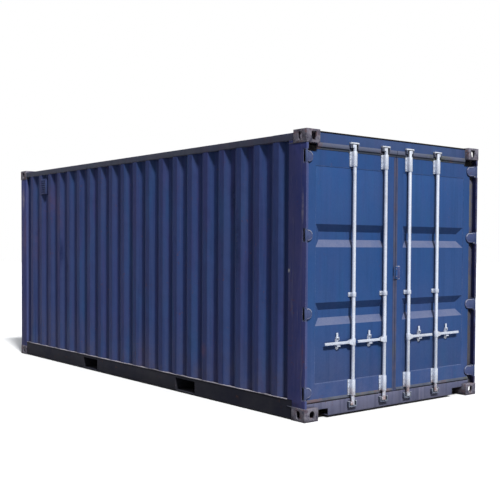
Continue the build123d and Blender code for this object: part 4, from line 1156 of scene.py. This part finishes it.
def plate_shadow_seal(shape):
    """A dark rubber packer under the overlap plate, which shows round the plate's edge as painted
    shadow of the plate.
    """
    near, far = plate_low.y - 0.002, plate_high.y + 0.003
    outline = rectangle(near, far, plate_low.z - 0.005, plate_high.z + 0.003)
    add_prism(shape, outline, 0, leaf_face, plate_low.x + 0.003)


def plate_base(shape):
    """The wide root of the overlap plate, welded flat on the right leaf."""
    near, far = plate_high.y - 0.001, plate_high.y + PLATE_ROOT
    outline = [
        (near, plate_low.z),
        (far, plate_low.z + PLATE_ROOT_SLOPE),
        (far, plate_high.z - PLATE_ROOT_SLOPE),
        (near, plate_high.z),
    ]
    add_prism(shape, outline, 0, leaf_face, plate_low.x + 0.005)


def plate_welds(shape):
    """Weld beads round the root of the overlap plate."""
    x, far = leaf_face + 0.001, plate_high.y + PLATE_ROOT
    for near, z in (
        (plate_high.y, plate_low.z + 0.003),
        (plate_low.y + 0.004, plate_high.z + 0.001),
    ):
        add_bead(shape, (x, near, z), (x, far, z), FORWARD, PLATE_BEAD)
    start = (leaf_face, far, plate_low.z + PLATE_ROOT_SLOPE)
    end = (leaf_face, far, plate_high.z - PLATE_ROOT_SLOPE)
    add_bead(shape, start, end, FORWARD, PLATE_SIDE_BEAD)


def plate_bolts(shape):
    """The two bolts of the overlap plate."""
    middle = (plate_low + plate_high) / 2
    for z in (middle.z - PLATE_BOLT_OFFSET, middle.z + PLATE_BOLT_OFFSET):
        add_bolt(shape, (plate_high.x, middle.y, z), FORWARD, PLATE_BOLT)


def floor_plane(shape):
    """The level ground, far wider than the picture."""
    bmesh.ops.create_grid(shape, x_segments=8, y_segments=8, size=FLOOR_HALF_WIDTH)


# Pieces of the container
add_piece("header_shadow_gutter", header_shadow_gutter, "container", black_rubber)
add_piece("keeper_shadow_sheets", keeper_shadow_sheets, "container", underframe_paint)
add_piece("hinge_caps", hinge_caps, "container", hinge_paint)
add_piece("wall_feet", wall_feet, "container", ledge_dust)
add_piece("frame_welds", frame_welds, "container", rail_paint)
add_piece("roof_welds", roof_welds, "container", rail_paint)
add_piece("floor_screws", floor_screws, "container", galvanised)

# Pieces of the two doors
for side, sign in SIDES:
    door = Door(side, sign)
    door.add("seam_lips", door.seam_lips, "gasket_rubber", seam_rubber)
    door.add("cross_lips", door.cross_lips, "gasket_rubber", gasket_rubber)
    door.add("corner_shadow_flap", door.corner_shadow_flap, "gasket_rubber", black_rubber, 0.001)
    door.add("panel_welds", door.panel_welds, "door_paint", door_paint)
    # The upper ribs take a light paint, a painted highlight; the lower ribs keep the darker hinge
    # paint
    door.add("upper_hinge_ribs", door.upper_hinge_ribs, "door_paint", rib_paint)
    door.add("lower_hinge_ribs", door.lower_hinge_ribs, "door_paint", hinge_paint)
    door.add("guide_bolts", door.guide_bolts, "galvanised_steel", galvanised)

# Pieces of the overlap plate
add_piece("plate_shadow_seal", plate_shadow_seal, "right_door", black_rubber)
add_piece("plate_base", plate_base, "right_door", hinge_paint, 0.0015)
# Light paint on the welds: a painted highlight
add_piece("plate_welds", plate_welds, "right_door", rib_paint)
add_piece("plate_bolts", plate_bolts, "right_door", hinge_paint)

# Camera
camera = add_object("camera", bpy.data.cameras.new("camera"))
level = math.cos(CAMERA_PITCH)
flat_x, flat_y = math.cos(CAMERA_HEADING), math.sin(CAMERA_HEADING)
ahead = Vector((level * flat_x, level * flat_y, math.sin(CAMERA_PITCH)))
level_right = ahead.cross(Vector(UPWARD)).normalized()
level_up = level_right.cross(ahead)
right = math.cos(CAMERA_ROLL) * level_right + math.sin(CAMERA_ROLL) * level_up
up = math.cos(CAMERA_ROLL) * level_up - math.sin(CAMERA_ROLL) * level_right
turn = Matrix((right, up, -ahead)).transposed().to_4x4()
camera.matrix_world = Matrix.Translation(CAMERA_PLACE) @ turn
camera.data.lens = CAMERA_LENS
camera.data.sensor_width = CAMERA_SENSOR
camera.data.shift_x, camera.data.shift_y = CAMERA_SHIFT
camera.data.clip_end = CAMERA_REACH
scene.camera = camera

# Floor, sun and sky
floor_mesh = mesh_of("floor", floor_plane)
floor_mesh.materials.append(floor_finish("floor"))
floor = add_object("floor", floor_mesh)

sun = add_object("sun", bpy.data.lights.new("sun", "SUN"))
sun.data.energy = SUN_STRENGTH
sun.data.angle = SUN_ANGLE
sun.rotation_euler = SUN_DIRECTION.to_track_quat("Z", "Y").to_euler()

scene.world = sky_finish("sky")
scene.view_settings.view_transform = "Standard"
